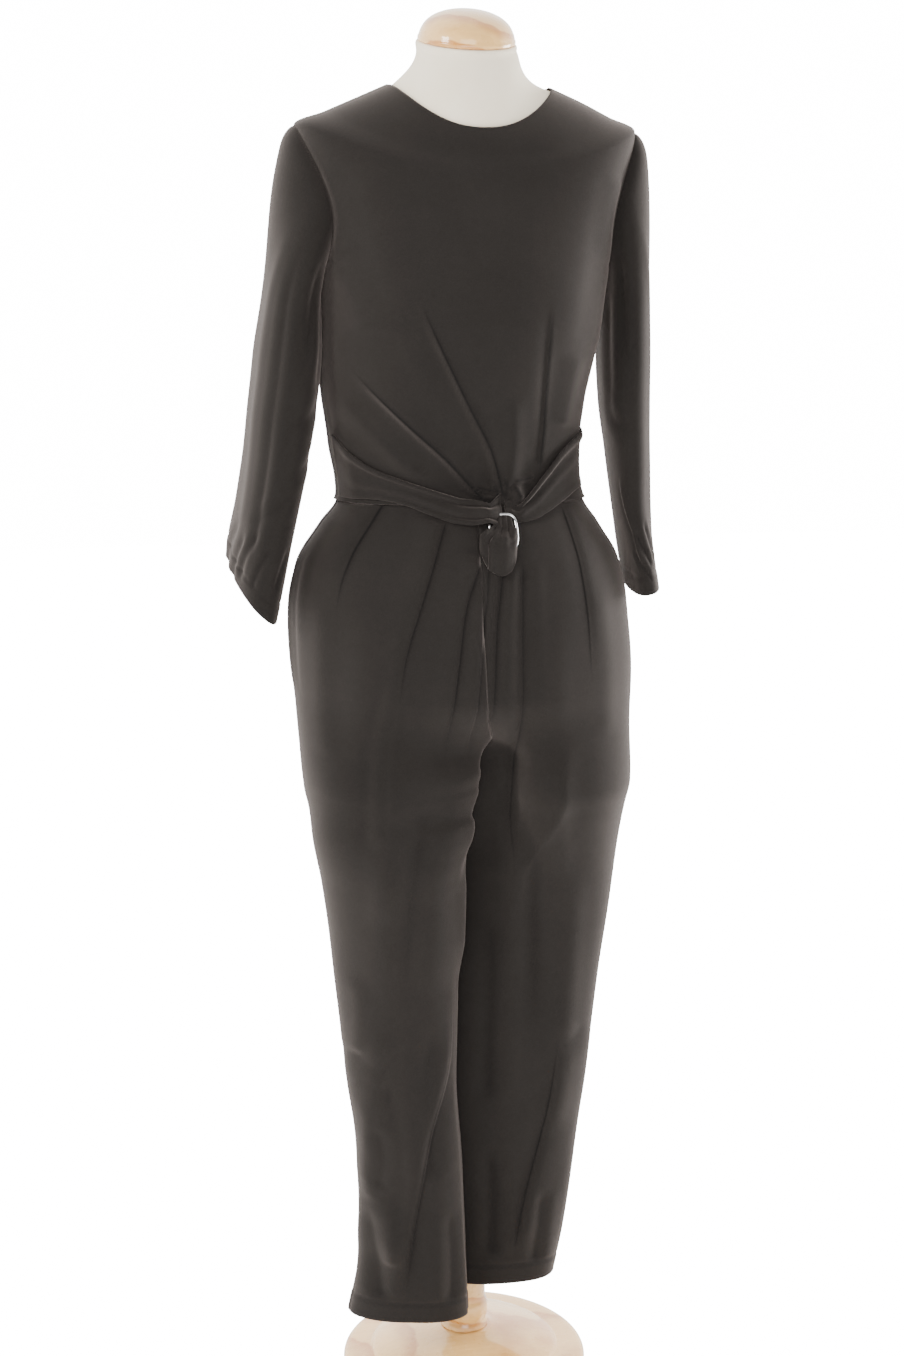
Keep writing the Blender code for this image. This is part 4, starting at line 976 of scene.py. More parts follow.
# ------------------------------------------------------------------ the garment's parts
@dataclass
class Bodice:
    """The draped front and the two backs."""

    columns: int = 208
    rows: int = 212
    back_columns: int = 84
    back_rows: int = 120
    cut: Cut = Cut(0.56, 0.52, 0.205, "draped", ("form_torso",))
    back_cut: Cut = Cut(0.29, 0.52, 0.115, "draped", ("form_torso",))
    neck_fade: float = 0.05
    side_fade: float = 0.05
    back_side_fade: float = 0.08
    centre_fade: float = 0.10
    sewn: tuple[Seam, ...] = (Seam.START, Seam.END, Seam.BOTTOM)

    @staticmethod
    def levels(rows: int) -> Array:
        """The rows' levels, from the neckline down to the waist."""
        return WAIST + (NECKLINE - WAIST) * stations(rows, 0.15)[::-1]

    @staticmethod
    def front_place(u: Array, v: Array) -> Array:
        """Points of the front, from the right armhole to the left one, at levels v."""
        limit = Block.armhole(v, Face.FRONT)
        return Block.body(limit + (math.pi - 2 * limit) * u, v, Face.FRONT)

    def front_relief(self, u: Array, v: Array, g: Array) -> Array:
        """The front's folds, which fade out at the seams and under the belt.

        Args:
            u: 0 at the right armhole, 1 at the left one.
            v: The level.
            g: The points.

        Returns:
            How far the cloth stands out.
        """
        x, z = g[..., 0], g[..., 2]
        shown = ease(np.minimum(u, 1 - u) / self.side_fade) * rise(v, NECKLINE, -self.neck_fade)
        return shown * belt_clearance(x, z) * (relief_of(BODICE_CREASES, x, z) + ripple(x, z, HANG))

    def front(self, cloth: bpy.types.Material) -> bpy.types.Object:
        """The front, from armhole to armhole, with its tucks."""
        return Shell("bodice_front", self.cut, self.front_place, self.front_relief,
                     stations(self.columns, 0.25), self.levels(self.rows), seams=self.sewn, seam_reach=0.0028,
                     folds=BODICE_CREASES).build(cloth)

    @staticmethod
    def back_place(side: Side, u: Array, v: Array) -> Array:
        """Points of a back.

        Args:
            side: Which back.
            u: 0 at the armhole, 1 at the centre.
            v: The level.

        Returns:
            Points, with x, y and z last.
        """
        limit = Block.armhole(v, Face.BACK)
        alpha = limit + (math.pi / 2 - limit) * u
        return Block.body(alpha if side is Side.RIGHT else math.pi - alpha, v, Face.BACK)

    def back_relief(self, u: Array, v: Array, g: Array) -> Array:
        """A back's folds, which fade out at the seams.

        Args:
            u: 0 at the armhole, 1 at the centre.
            v: The level.
            g: The points.

        Returns:
            How far the cloth stands out.
        """
        x, z = g[..., 0], g[..., 2]
        shown = rise(u, 0.0, self.back_side_fade) * rise(u, 1.0, -self.centre_fade)
        shown = shown * rise(v, NECKLINE, -self.neck_fade)
        return shown * (relief_of(BACK_BODICE_CREASES, x, z) + ripple(-x, z, HANG))

    def back(self, side: Side, cloth: bpy.types.Material) -> bpy.types.Object:
        """One back, with its shaping tuck and the seam that the zip lies in."""
        return Shell(f"bodice_back_{side.value}", self.back_cut, partial(self.back_place, side),
                     self.back_relief, stations(self.back_columns, 0.3), self.levels(self.back_rows),
                     side.way, self.sewn).build(cloth)


@dataclass
class Trousers:
    """The two pleated fronts and the two backs."""

    columns: int = 88
    rows: int = 300
    back_columns: int = 70
    back_rows: int = 220
    hem_depth: float = 0.023
    size: tuple[float, float] = (0.31, 0.99)
    front_area: float = 0.235
    back_area: float = 0.225
    side_fade: float = 0.07
    inseam_fade: float = 0.10
    waist_fade: float = 0.004
    looser: float = 0.8
    looser_below: float = 0.7
    looser_length: float = 0.4
    lip: Roll = Roll(0.015, 0.030, 0.0032)
    mouth: Roll = Roll(0.105, 0.030, -0.0012)

    def panel(self, side: Side, face: Face, cloth: bpy.types.Material) -> bpy.types.Object:
        """One quarter of the trousers, from the waist seam to the turned-up hem.

        Args:
            side: Which leg.
            face: Front or back.
            cloth: Its finish.

        Returns:
            The panel.
        """
        front = face is Face.FRONT
        carrier = "bodice_front_cloth" if front else f"bodice_back_{side.value}_cloth"
        cut = Cut(*self.size, self.front_area if front else self.back_area, "hung", (carrier,))
        count, rows = (self.columns, self.rows) if front else (self.back_columns, self.back_rows)
        return Shell(f"trouser_{face.value}_{side.value}", cut, partial(Block.trousers, side, face=face),
                     partial(self.relief, side, face), stations(count, 0.3),
                     WAIST - (WAIST - HEMS[side]) * stations(rows, 0.10), side.way * (1.0 if front else -1.0),
                     (Seam.TOP, Seam.START, Seam.END), hem=self.hem_depth, seam_dip=0.0006, seam_reach=0.0022,
                     folds=self.folds(side, face) if front else ()).build(cloth)

    @staticmethod
    def folds(side: Side, face: Face) -> tuple[Crease, ...]:
        """The folds of a panel."""
        return TROUSER_CREASES + LEG_CREASES[side] if face is Face.FRONT else BACK_TROUSER_CREASES

    def relief(self, side: Side, face: Face, u: Array, v: Array, g: Array) -> Array:
        """A panel's folds, its pocket's mouth and the fold inside the thigh.

        Args:
            side: Which leg.
            face: Front or back.
            u: 0 at the side seam, 1 at the centre or the inner seam.
            v: Height before the cloth is shaped.
            g: The points.

        Returns:
            How far the cloth stands out.
        """
        x, z = g[..., 0], g[..., 2]
        front = face is Face.FRONT
        inner = 1.0 - rise(z, RISE_BLEND, CROTCH - RISE_BLEND) * (1.0 - rise(u, 1.0, -self.inseam_fade))
        waist = belt_clearance(x, z) if front else rise(z, WAIST, -self.waist_fade)
        looser = 1.0 + self.looser * rise(z, self.looser_below, -self.looser_length)
        hang = ripple(x if front else -x, z, HANG) * looser
        shown = rise(u, 0.0, self.side_fade) * inner * waist
        total = shown * (relief_of(self.folds(side, face), x, z) + hang)
        return total + self.pocket(side, u, v) + self.overlap(side, u, z) if front else total

    @staticmethod
    def overlap(side: Side, u: Array, z: Array) -> Array:
        """The fold inside a thigh, of which the right one lies over the left one."""
        start, fade = OVERLAP_REACH[side]
        return sum(roll.over(z) for roll in OVERLAPS[side]) * rise(u, start, 0.25) * rise(u, 1.0, -fade)

    def pocket(self, side: Side, u: Array, v: Array) -> Array:
        """The mouth of the pocket in the side seam, which stands a little open.

        Args:
            side: Which leg.
            u: 0 at the side seam.
            v: Height.

        Returns:
            How far the cloth stands out.
        """
        top, bottom = POCKETS[side]
        q = (top - v) / (top - bottom)
        opened = np.sin(math.pi * np.clip(q, 0.0, 1.0)) ** 0.7 * ((q > 0) & (q < 1))
        return opened * (self.lip.over(u) + self.mouth.over(u))


@dataclass
class Sleeves:
    """The two set-in sleeves.

    The parameters of a sleeve are the share of the way round, from the seam next
    to the body, and the way down: 0 at the armhole, 1 where the cap ends, 2 at
    the hem.
    """

    columns: int = 116
    top_rows: int = 56
    rows: int = 116
    hem_depth: float = 0.020
    cut: Cut = Cut(0.37, 0.52, 0.165, "hung", ("bodice_front_cloth",))
    girth: float = 0.32
    tuck: float = 0.0018
    lift: float = 0.0006
    tip_lift: float = 0.0014
    turn_over: float = 2.6
    soft: float = 0.0006
    puff: Roll = Roll(0.16, 0.12, 0.0016)
    cap_fade: float = 0.30

    def place(self, side: Side, u: Array, v: Array) -> Array:
        """Points of a sleeve: a cap from the armhole, then the tube.

        Args:
            side: Which sleeve.
            u: The share of the way round.
            v: The way down.

        Returns:
            Points, with x, y and z last.
        """
        first, second, last = (SLEEVES[side].rows[k][0] for k in (0, 1, -1))
        psi = 2 * math.pi * u
        top = (1 - np.cos(psi)) / 2
        tip = top ** 8
        # under the bodice's edge all round, and over it at the shoulder
        start = Block.armhole_edge(side, psi) + np.stack(
            (-side.way * self.tuck * (1 - tip), 0 * psi, self.lift + self.tip_lift * tip), axis=-1)
        end = Block.cuff(side, psi, np.full_like(v, first))
        reach = np.linalg.norm(end - start, axis=-1, keepdims=True)
        # the cap turns over the shoulder at once, to the front and to the back
        over = np.tanh(self.turn_over * np.sin(psi)) / math.tanh(self.turn_over)
        spread = np.sin(psi) + (over - np.sin(psi)) * top
        leave = np.stack((side.way * (0.35 + 0.75 * top), -(0.25 + 1.10 * top) * spread, -1.0 + 0.50 * top),
                         axis=-1)
        leave = unit(leave) * reach * (1.0 - 0.5 * top)[..., None]
        arrive = unit(Block.cuff(side, psi, np.full_like(v, second)) - end) * reach
        cap = cubic(np.clip(v, 0.0, 1.0)[..., None], start, leave, end, arrive)
        low = Block.cuff(side, psi, first + (last - first) * np.clip(v - 1.0, 0.0, 1.0))
        return np.where((v <= 1.0)[..., None], cap, low)

    def relief(self, side: Side, u: Array, v: Array, g: Array) -> Array:
        """A sleeve's folds, which carry on across the seam, and the fullness of its cap.

        Args:
            side: Which sleeve.
            u: The share of the way round.
            v: The way down.
            g: The points.

        Returns:
            How far the cloth stands out.
        """
        z = g[..., 2]
        folds = sum(relief_of(SLEEVE_CREASES[side], (u + turn) * self.girth, z) for turn in (0, -1, 1))
        soft = self.soft * np.sin(4 * math.pi * u + z * 14.0) * np.sin(z * 33.0 + 1.3) * -side.way
        puff = self.puff.over(v) * ((1 - np.cos(2 * math.pi * u)) / 2) ** 2
        return (folds + soft) * rise(v, 0.0, self.cap_fade) + puff

    def sleeve(self, side: Side, cloth: bpy.types.Material) -> bpy.types.Object:
        """One sleeve, from its armhole to its turned-up hem."""
        down = np.concatenate((stations(self.top_rows, 0.2), 1.0 + stations(self.rows, 0.05)[1:]))
        return Shell(f"sleeve_{side.value}", self.cut, partial(self.place, side), partial(self.relief, side),
                     np.arange(self.columns) / self.columns, down, -side.way, (Seam.TOP,), closed=True,
                     hem=self.hem_depth).build(cloth)


@dataclass
class Belt:
    """The belt's two pieces, its loose end and its ring.

    On each of its pieces u runs from the wearer's right to their left, and v
    from the top edge to the bottom edge.
    """

    rows: int = 44
    right_columns: int = 150
    left_columns: int = 104
    tail_columns: int = 56
    tail_rows: int = 64
    wall: float = 0.0012
    least: float = 0.0016
    right_seam: tuple[float, float] = (1.110, 0.058)
    left_seam: tuple[float, float] = (1.122, 0.060)
    right_end: float = 0.0190
    left_end: float = 0.0235
    sewn: float = 0.25
    right_cut: Cut = Cut(0.21, 0.075, 0.0105, "gathered", ("bodice_front_cloth", "belt_ring_metal"))
    left_cut: Cut = Cut(0.15, 0.075, 0.0070, "gathered", ("bodice_front_cloth", "belt_ring_metal"))
    tail_cut: Cut = Cut(0.045, 0.075, 0.0022, "gathered", ("belt_ring_metal",))
    right_pleats: tuple[Pleats, ...] = (Pleats(0.0016, 1.7, 0.35, 0.6), Pleats(0.0006, 3.9, -0.8, 2.0))
    left_pleats: tuple[Pleats, ...] = (Pleats(0.0012, 1.6, 0.4, 1.1), Pleats(0.0004, 3.6, 0.5, 0.0))
    right_rims: tuple[Roll, ...] = (Roll(0.07, 0.09, 0.0022), Roll(0.92, 0.08, 0.0012))
    left_rims: tuple[Roll, ...] = (Roll(0.07, 0.09, 0.0034), Roll(0.93, 0.08, 0.0008))
    right_fold: Roll = Roll(0.62, 0.13, 0.0016)
    left_fold: Roll = Roll(0.52, 0.11, 0.0014)
    over_bar: Roll = Roll(0.002, 0.0085, 0.0052)
    lobes: tuple[Roll, ...] = (Roll(0.62, 0.26, 0.0030), Roll(0.08, 0.12, 0.0022))
    notch: Roll = Roll(0.25, 0.035, -0.0026)
    ring_points: int = 72
    wire_sides: int = 16
    ring_power: float = 3.4
    ring_lift: float = 0.0048

    @staticmethod
    def lay(x: Array, z: Array, lift: Array) -> Array:
        """Points lifted off the fronts by the given amount."""
        alpha = Block.alpha_at(x, z)
        return Block.body(alpha, z, Face.FRONT) + Block.normal(alpha, z) * lift[..., None]

    def right_place(self, u: Array, v: Array) -> Array:
        """Points of the right piece, which is gathered over the ring's bar and ends inside it.

        Args:
            u: 0 at the side seam, 1 inside the ring.
            v: 0 at the top edge, 1 at the bottom edge.

        Returns:
            Points, with x, y and z last.
        """
        seam = Block.side_x(self.right_seam[0] - self.right_seam[1] * v, Side.RIGHT)
        x = seam + (self.right_end - seam) * u
        past = np.clip((x - 0.004) / 0.015, 0.0, 1.0)
        top = BELT_RIGHT_EDGES.read("top", x) + 0.0065 * rise(x, -0.030, 0.034) + 0.0125 * past
        bottom = BELT_RIGHT_EDGES.read("bottom", x) - 0.004 * past
        crown = 1 - (2 * v - 1) ** 2
        pleats = sum(pleat.over(u, v) for pleat in self.right_pleats) * rise(u, 0.45, 0.4)
        fold = self.right_fold.over(v + 0.10 * np.sin(3.0 * u)) * rise(u, 0.0, 0.15)
        rims = sum(rim.over(v) for rim in self.right_rims)
        lift = (0.0026 + 0.0012 * crown + rise(x, -0.085, 0.080) * (0.0022 * crown + pleats) + fold + rims
                + self.over_bar.over(x) - 0.0030 * rise(x, 0.010, 0.009))
        sewn = self.sewn + (1.0 - self.sewn) * rise(u, 0.0, 0.10)
        return self.lay(x, top + (bottom - top) * v, np.maximum(lift, self.least) * sewn)

    def right(self, cloth: bpy.types.Material) -> bpy.types.Object:
        """The wide piece from the wearer's right, gathered over the ring's bar."""
        return Shell("belt_right", self.right_cut, self.right_place, plain, stations(self.right_columns),
                     stations(self.rows), seams=(Seam.START,), thickness=self.wall).build(cloth)

    def left_place(self, u: Array, v: Array) -> Array:
        """Points of the left piece, narrowed under the ring's bar.

        Args:
            u: 0 inside the ring, 1 at the side seam.
            v: 0 at the top edge, 1 at the bottom edge.

        Returns:
            Points, with x, y and z last.
        """
        seam = Block.side_x(self.left_seam[0] - self.left_seam[1] * v, Side.LEFT)
        x = self.left_end + (seam - self.left_end) * u
        inside = np.clip((0.0400 - x) / 0.010, 0.0, 1.0)
        top = BELT_LEFT_EDGES.read("top", x) + 0.0150 * inside
        bottom = BELT_LEFT_EDGES.read("bottom", x) + 0.001 * inside
        crown = 1 - (2 * v - 1) ** 2
        pleats = sum(pleat.over(u, v) for pleat in self.left_pleats)
        rims = sum(rim.over(v) for rim in self.left_rims) * rise(x, 0.036, 0.016)
        fold = self.left_fold.over(v + 0.12 * u) * rise(u, 1.0, -0.3)
        lift = (0.0028 + 0.0012 * crown + (1.0 - rise(x, 0.030, 0.050)) * (0.0010 * crown + 0.7 * pleats)
                + rims + fold - 0.0026 * rise(x, 0.044, -0.008))
        sewn = self.sewn + (1.0 - self.sewn) * rise(u, 1.0, -0.12)
        return self.lay(x, top + (bottom - top) * v, np.maximum(lift, self.least) * sewn)

    def left(self, cloth: bpy.types.Material) -> bpy.types.Object:
        """The piece from the wearer's left, narrowed under the ring's bar."""
        return Shell("belt_left", self.left_cut, self.left_place, plain, stations(self.left_columns),
                     stations(self.rows), seams=(Seam.END,), thickness=self.wall).build(cloth)

    def tail_place(self, u: Array, v: Array) -> Array:
        """Points of the loose end: gathered where it fills the ring, then spread in two lobes.

        Args:
            u: 0 at its right edge, 1 at its left edge.
            v: 0 at the top, 1 at its hem.

        Returns:
            Points, with x, y and z last.
        """
        spread = rise(v, 0.18, 0.42)
        x = (0.0095 + 0.0195 * u) * (1.0 - spread) + TAIL_HEM.read("x", u) * spread
        top = 1.0345 - 0.0030 * (2 * u - 1) ** 2
        gathers = np.sin(2 * math.pi * (3.2 * u + 0.10 * np.sin(5 * v)) + 0.8) * bell(v, 0.3, 0.28)
        bulge = 0.0030 * np.sin(math.pi * np.clip(v / 0.55, 0.0, 1.0)) ** 0.8
        over = 0.0056 * rise(v, 0.26, 0.20) * (1.0 - 0.75 * rise(v, 0.60, 0.36))
        lobes = (sum(lobe.over(u) for lobe in self.lobes) + self.notch.over(u - 0.05 * (1 - v))
                 - 0.0026 * rise(u, 0.86, 0.14))
        lift = 0.0026 + bulge + over + 0.0011 * gathers + lobes * rise(v, 0.30, 0.25)
        return self.lay(x, top + (TAIL_HEM.read("z", u) - top) * v, np.maximum(lift, self.least))

    def tail(self, cloth: bpy.types.Material) -> bpy.types.Object:
        """The loose end, which hangs from the ring."""
        return Shell("belt_tail", self.tail_cut, self.tail_place, plain, stations(self.tail_columns),
                     stations(self.tail_rows), thickness=self.wall).build(cloth)

    def ring(self, metal: bpy.types.Material) -> bpy.types.Object:
        """The ring: round wire bent to a rounded square that lies along the body.

        Args:
            metal: Its finish.

        Returns:
            The ring.
        """
        a = 2 * math.pi * np.arange(self.ring_points) / self.ring_points
        x = RING_CENTRE[0] + (RING_WIDTH / 2 - RING_WIRE) * power(np.cos(a), 2 / self.ring_power)
        z = RING_CENTRE[1] + (RING_HEIGHT / 2 - RING_WIRE) * power(np.sin(a), 2 / self.ring_power)
        path = self.lay(x, z, np.full(self.ring_points, self.ring_lift))
        mesh = bmesh.new()
        loops = []
        for before, here, after in zip(np.roll(path, 1, axis=0), path, np.roll(path, -1, axis=0)):
            loop = bmesh.ops.create_circle(mesh, segments=self.wire_sides, radius=RING_WIRE)["verts"]
            turn = Vector((0, 0, 1)).rotation_difference(Vector(after - before)).to_matrix().to_4x4()
            bmesh.ops.transform(mesh, verts=loop, matrix=Matrix.Translation(Vector(here)) @ turn)
            loops.append(loop)
        for pair in zip(loops, loops[1:] + loops[:1]):
            edges = [edge for loop in pair for vert in loop for edge in vert.link_edges
                     if all(end in loop for end in edge.verts)]
            bmesh.ops.bridge_loops(mesh, edges=list(dict.fromkeys(edges)))
        bmesh.ops.recalc_face_normals(mesh, faces=mesh.faces)
        obj = finish_mesh("belt_ring_metal", mesh, metal)
        stand_for(obj, "belt_ring")
        return obj


# ------------------------------------------------------------------ the form and its stand
@dataclass
class DressForm:
    """The jersey bust, the turned cap, the pole and the base."""

    columns: int = 128
    body_rings: int = 40
    chest_rings: int = 34
    neck_rings: int = 13
    tilt: float = math.radians(16.0)
    neck: Point = (0.0, -0.012, 1.535)
    neck_radius: float = 0.0545
    neck_drop: float = -0.006
    rim: Pairs = ((-0.0032, 0.0004), (-0.0012, 0.0), (0.0, -0.0012))
    foot: float = 0.845
    pole_radius: float = 0.025
    base_radius: float = 0.145
    gap: float = 0.0003
    cap_facets: int = 96
    pole_facets: int = 72
    base_facets: int = 128
    bust_edge: float = math.radians(50.0)
    wood_edge: float = math.radians(38.0)
    body: Table = Table(("z", "half", "centre", "y_front", "y_back"), (
        (0.845, 0.150, 0.000, -0.092, 0.096), (0.860, 0.156, 0.000, -0.098, 0.102),
        (0.900, 0.158, -0.001, -0.099, 0.106), (0.960, 0.145, -0.003, -0.088, 0.096),
        (1.020, 0.121, -0.004, -0.074, 0.082), (1.060, 0.113, -0.005, -0.071, 0.077),
        (1.110, 0.117, -0.006, -0.080, 0.083), (1.160, 0.125, -0.006, -0.094, 0.089),
        (1.210, 0.134, -0.005, -0.112, 0.094), (1.255, 0.141, -0.003, -0.119, 0.099),
        (1.300, 0.149, -0.001, -0.115, 0.104)))
    inset: Table = Table(("level", "extra"), (
        (1.345, 0.0085), (1.385, 0.0085), (1.418, 0.0095), (1.443, 0.0085), (1.458, 0.0045), (1.478, 0.0025),
        (1.504, 0.0025), (1.530, 0.0025)))
    throat: Table = Table(("level", "z_side", "z_front", "z_back", "half", "y_side", "y_front", "y_back"), (
        (1.550, 1.4985, 1.4560, 1.5050, 0.0700, 0.001, -0.0715, 0.0520),
        (1.570, 1.5120, 1.4800, 1.5230, 0.0585, -0.010, -0.0685, 0.0440)))
    throat_places: tuple[float, ...] = (0.0, 0.30, 0.62, 1.0)

    @staticmethod
    def ring(a: Array, level: float, table: Table) -> Array:
        """A ring of the chest or the throat.

        Args:
            a: Angles, 0 at the wearer's left, then the back.
            level: The ring.
            table: Its sizes.

        Returns:
            The ring's points.
        """
        read = partial(table.read, at=np.full_like(a, level))
        back = np.sin(a) > 0
        far = np.where(back, read("y_back"), read("y_front"))
        far_z = np.where(back, read("z_back"), read("z_front"))
        out = np.abs(np.sin(a)) ** (2 / BODY_POWER)
        centre = read("centre") if "centre" in table.names else 0.0
        return np.stack((centre + read("half") * power(np.cos(a), 2 / BODY_POWER),
                         read("y_side") + (far - read("y_side")) * out,
                         read("z_side") + (far_z - read("z_side")) * np.sin(a) ** 2), axis=-1)

    def low_ring(self, a: Array, z: float) -> Array:
        """A level ring of the form's body.

        Args:
            a: Angles, 0 at the wearer's left, then the back.
            z: Height.

        Returns:
            The ring's points.
        """
        half, centre, front, back = (float(self.body.read(name, z)) for name in self.body.names[1:])
        depth = np.where(np.sin(a) > 0, back, -front)
        return np.stack((centre + half * power(np.cos(a), 2 / BODY_POWER),
                         depth * power(np.sin(a), 2 / BODY_POWER), np.full_like(a, z)), axis=-1)

    def chest_ring(self, a: Array, level: float) -> Array:
        """A ring of the chest, drawn in from the cloth.

        Args:
            a: Angles, 0 at the wearer's left, then the back.
            level: The cloth's ring.

        Returns:
            The ring's points.
        """
        along = self.ring(a + 0.03, level, RINGS) - self.ring(a - 0.03, level, RINGS)
        up = (self.ring(a, min(level + 0.006, NECKLINE), RINGS)
              - self.ring(a, min(level, NECKLINE - 0.006) - 0.002, RINGS))
        return self.ring(a, level, RINGS) - unit(np.cross(along, up)) * float(self.inset.read("extra", level))

    def rim_ring(self, a: Array, height: float, radius: float) -> Array:
        """A round ring above or below the plane of the neck's tilted rim.

        Args:
            a: Angles, 0 at the wearer's left, then the back.
            height: Above the plane.
            radius: Its radius.

        Returns:
            The ring's points.
        """
        x, y = radius * np.cos(a), radius * np.sin(a)
        sine, cosine = math.sin(self.tilt), math.cos(self.tilt)
        return np.array(self.neck) + np.stack((x, y * cosine - height * sine, y * sine + height * cosine),
                                              axis=-1)

    def rings(self) -> list[Array]:
        """The bust's rings.

        Returns:
            The points of each ring, from the foot to the neck's rim.
        """
        a = 2 * math.pi * np.arange(self.columns) / self.columns
        rings = [self.low_ring(a, z) for z in np.linspace(self.foot, 1.300, self.body_rings)]
        rings += [self.chest_ring(a, level) for level in np.linspace(1.345, NECKLINE, self.chest_rings)]
        knots = [rings[-1], *(self.ring(a, row[0], self.throat) for row in self.throat.rows),
                 self.rim_ring(a, self.neck_drop, self.neck_radius)]
        places = self.throat_places
        for t in np.linspace(0.0, 1.0, self.neck_rings + 1)[1:]:  # Lagrange's curve through the four rings
            weights = (math.prod((t - other) / (place - other) for other in places if other != place)
                       for place in places)
            rings.append(sum(knot * weight for knot, weight in zip(knots, weights)))
        return rings + [self.rim_ring(a, height, self.neck_radius + more) for height, more in self.rim]

    def bust(self, jersey: bpy.types.Material) -> bpy.types.Object:
        """The bust: one closed piece, round at the neck, with jersey drawn over it.

        Args:
            jersey: Its finish.

        Returns:
            The bust.
        """
        first, *others = self.rings()
        mesh = bmesh.new()
        loop = bmesh.ops.create_circle(mesh, cap_ends=True, segments=self.columns, radius=0.1)["verts"]
        self.settle(loop, first)
        edges = list(mesh.edges)
        for ring in others:
            grown = bmesh.ops.extrude_edge_only(mesh, edges=edges)["geom"]
            edges = [e for e in grown if isinstance(e, bmesh.types.BMEdge)]
            fresh = [v for v in grown if isinstance(v, bmesh.types.BMVert)]
            above = {next(old for old in (e.other_vert(v) for e in v.link_edges) if old not in fresh): v
                     for v in fresh}
            loop = [above[v] for v in loop]
            self.settle(loop, ring)
        bmesh.ops.contextual_create(mesh, geom=edges)
        bmesh.ops.recalc_face_normals(mesh, faces=mesh.faces)
        obj = finish_mesh("bust_jersey", mesh, jersey)
        obj.data.set_sharp_from_angle(angle=self.bust_edge)
        stand_for(obj, "form_torso")
        return obj

    @staticmethod
    def settle(loop: Sequence[bmesh.types.BMVert], ring: Array) -> None:
        """Puts the vertices of a loop at a ring's points."""
        for vert, point in zip(loop, ring):
            vert.co = Vector(point)

    def turned(self, node: str, profile: Pairs, steps: int, wood: bpy.types.Material,
               place: Matrix = Matrix.Identity(4)) -> bpy.types.Object:
        """A piece turned from a profile.

        Args:
            node: The solid that it stands for.
            profile: Radius and height of each corner, from the top axis to the bottom axis.
            steps: Facets round it.
            wood: Its finish.
            place: Where it goes.

        Returns:
            The finished piece.
        """
        mesh = bmesh.new()
        verts = [mesh.verts.new((r, 0.0, z)) for r, z in profile]
        edges = [mesh.edges.new(pair) for pair in zip(verts, verts[1:])]
        bmesh.ops.spin(mesh, geom=verts + edges, cent=(0, 0, 0), axis=(0, 0, 1), angle=2 * math.pi,
                       steps=steps, use_merge=True)
        bmesh.ops.remove_doubles(mesh, verts=mesh.verts, dist=2e-5)
        bmesh.ops.recalc_face_normals(mesh, faces=mesh.faces)
        bmesh.ops.transform(mesh, verts=mesh.verts, matrix=place)
        obj = finish_mesh(f"{node}_wood", mesh, wood)
        obj.data.set_sharp_from_angle(angle=self.wood_edge)
        stand_for(obj, node)
        return obj

    @staticmethod
    def rounded(profile: Pairs, passes: int = 2) -> Pairs:
        """Cuts the corners of a profile, keeping its ends.

        Args:
            profile: Radius and height of each corner.
            passes: How often they are cut.

        Returns:
            The new corners.
        """
        points = [np.array(p) for p in profile]
        for _ in range(passes):
            fresh = [points[0]]
            for a, b in zip(points, points[1:]):
                length = np.linalg.norm(b - a)
                near = 0.22 if length < 0.03 else 0.003 / length
                fresh += [a + (b - a) * near, b + (a - b) * near]
            points = fresh + [points[-1]]
        return tuple((float(p[0]), float(p[1])) for p in points)

    def cap(self, wood: bpy.types.Material) -> bpy.types.Object:
        """The domed cap on the tilted neck.

        Args:
            wood: Its finish.

        Returns:
            The piece.
        """
        profile = ((0.0, 0.0345), (0.014, 0.0338), (0.027, 0.0310), (0.038, 0.0262), (0.0460, 0.0195),
                   (0.0505, 0.0115), (0.0520, 0.0060), (0.0530, 0.0045), (0.0530, self.gap), (0.0, self.gap))
        place = Matrix.Translation(Vector(self.neck)) @ Matrix.Rotation(self.tilt, 4, "X")
        return self.turned("neck_cap", self.rounded(profile), self.cap_facets, wood, place)

    def pole(self, wood: bpy.types.Material) -> bpy.types.Object:
        """The pole with its turned collar.

        Args:
            wood: Its finish.

        Returns:
            The piece.
        """
        r, top = self.pole_radius, self.foot - self.gap
        profile = ((0.0, top), (r, top), (r, 0.090), (0.0256, 0.086), (0.0272, 0.0830), (0.0280, 0.0785),
                   (0.0280, 0.0695), (0.0272, 0.0650), (0.0258, 0.0625), (0.0258, 0.0605), (0.0274, 0.0580),
                   (0.0280, 0.0550), (0.0280, 0.0523), (0.0, 0.0523))
        return self.turned("stand_pole", self.rounded(profile, 1), self.pole_facets, wood)

    def base(self, wood: bpy.types.Material) -> bpy.types.Object:
        """The round base, domed inside a flat rim.

        Args:
            wood: Its finish.

        Returns:
            The piece.
        """
        profile = ((0.0, 0.052), (0.030, 0.052), (0.036, 0.0495), (0.062, 0.0448), (0.088, 0.0388),
                   (0.106, 0.0318), (0.1100, 0.0285), (0.1115, 0.0256), (0.1160, 0.0252), (0.1360, 0.0242),
                   (0.1415, 0.0220), (0.1442, 0.0180), (self.base_radius, 0.0130), (0.1438, 0.0055),
                   (0.1405, 0.0), (0.0, 0.0))
        return self.turned("stand_base", self.rounded(profile), self.base_facets, wood)


# ------------------------------------------------------------------ finishes
def grey(value: float) -> Colour:
    """A colour without a hue."""
    return (value, value, value)


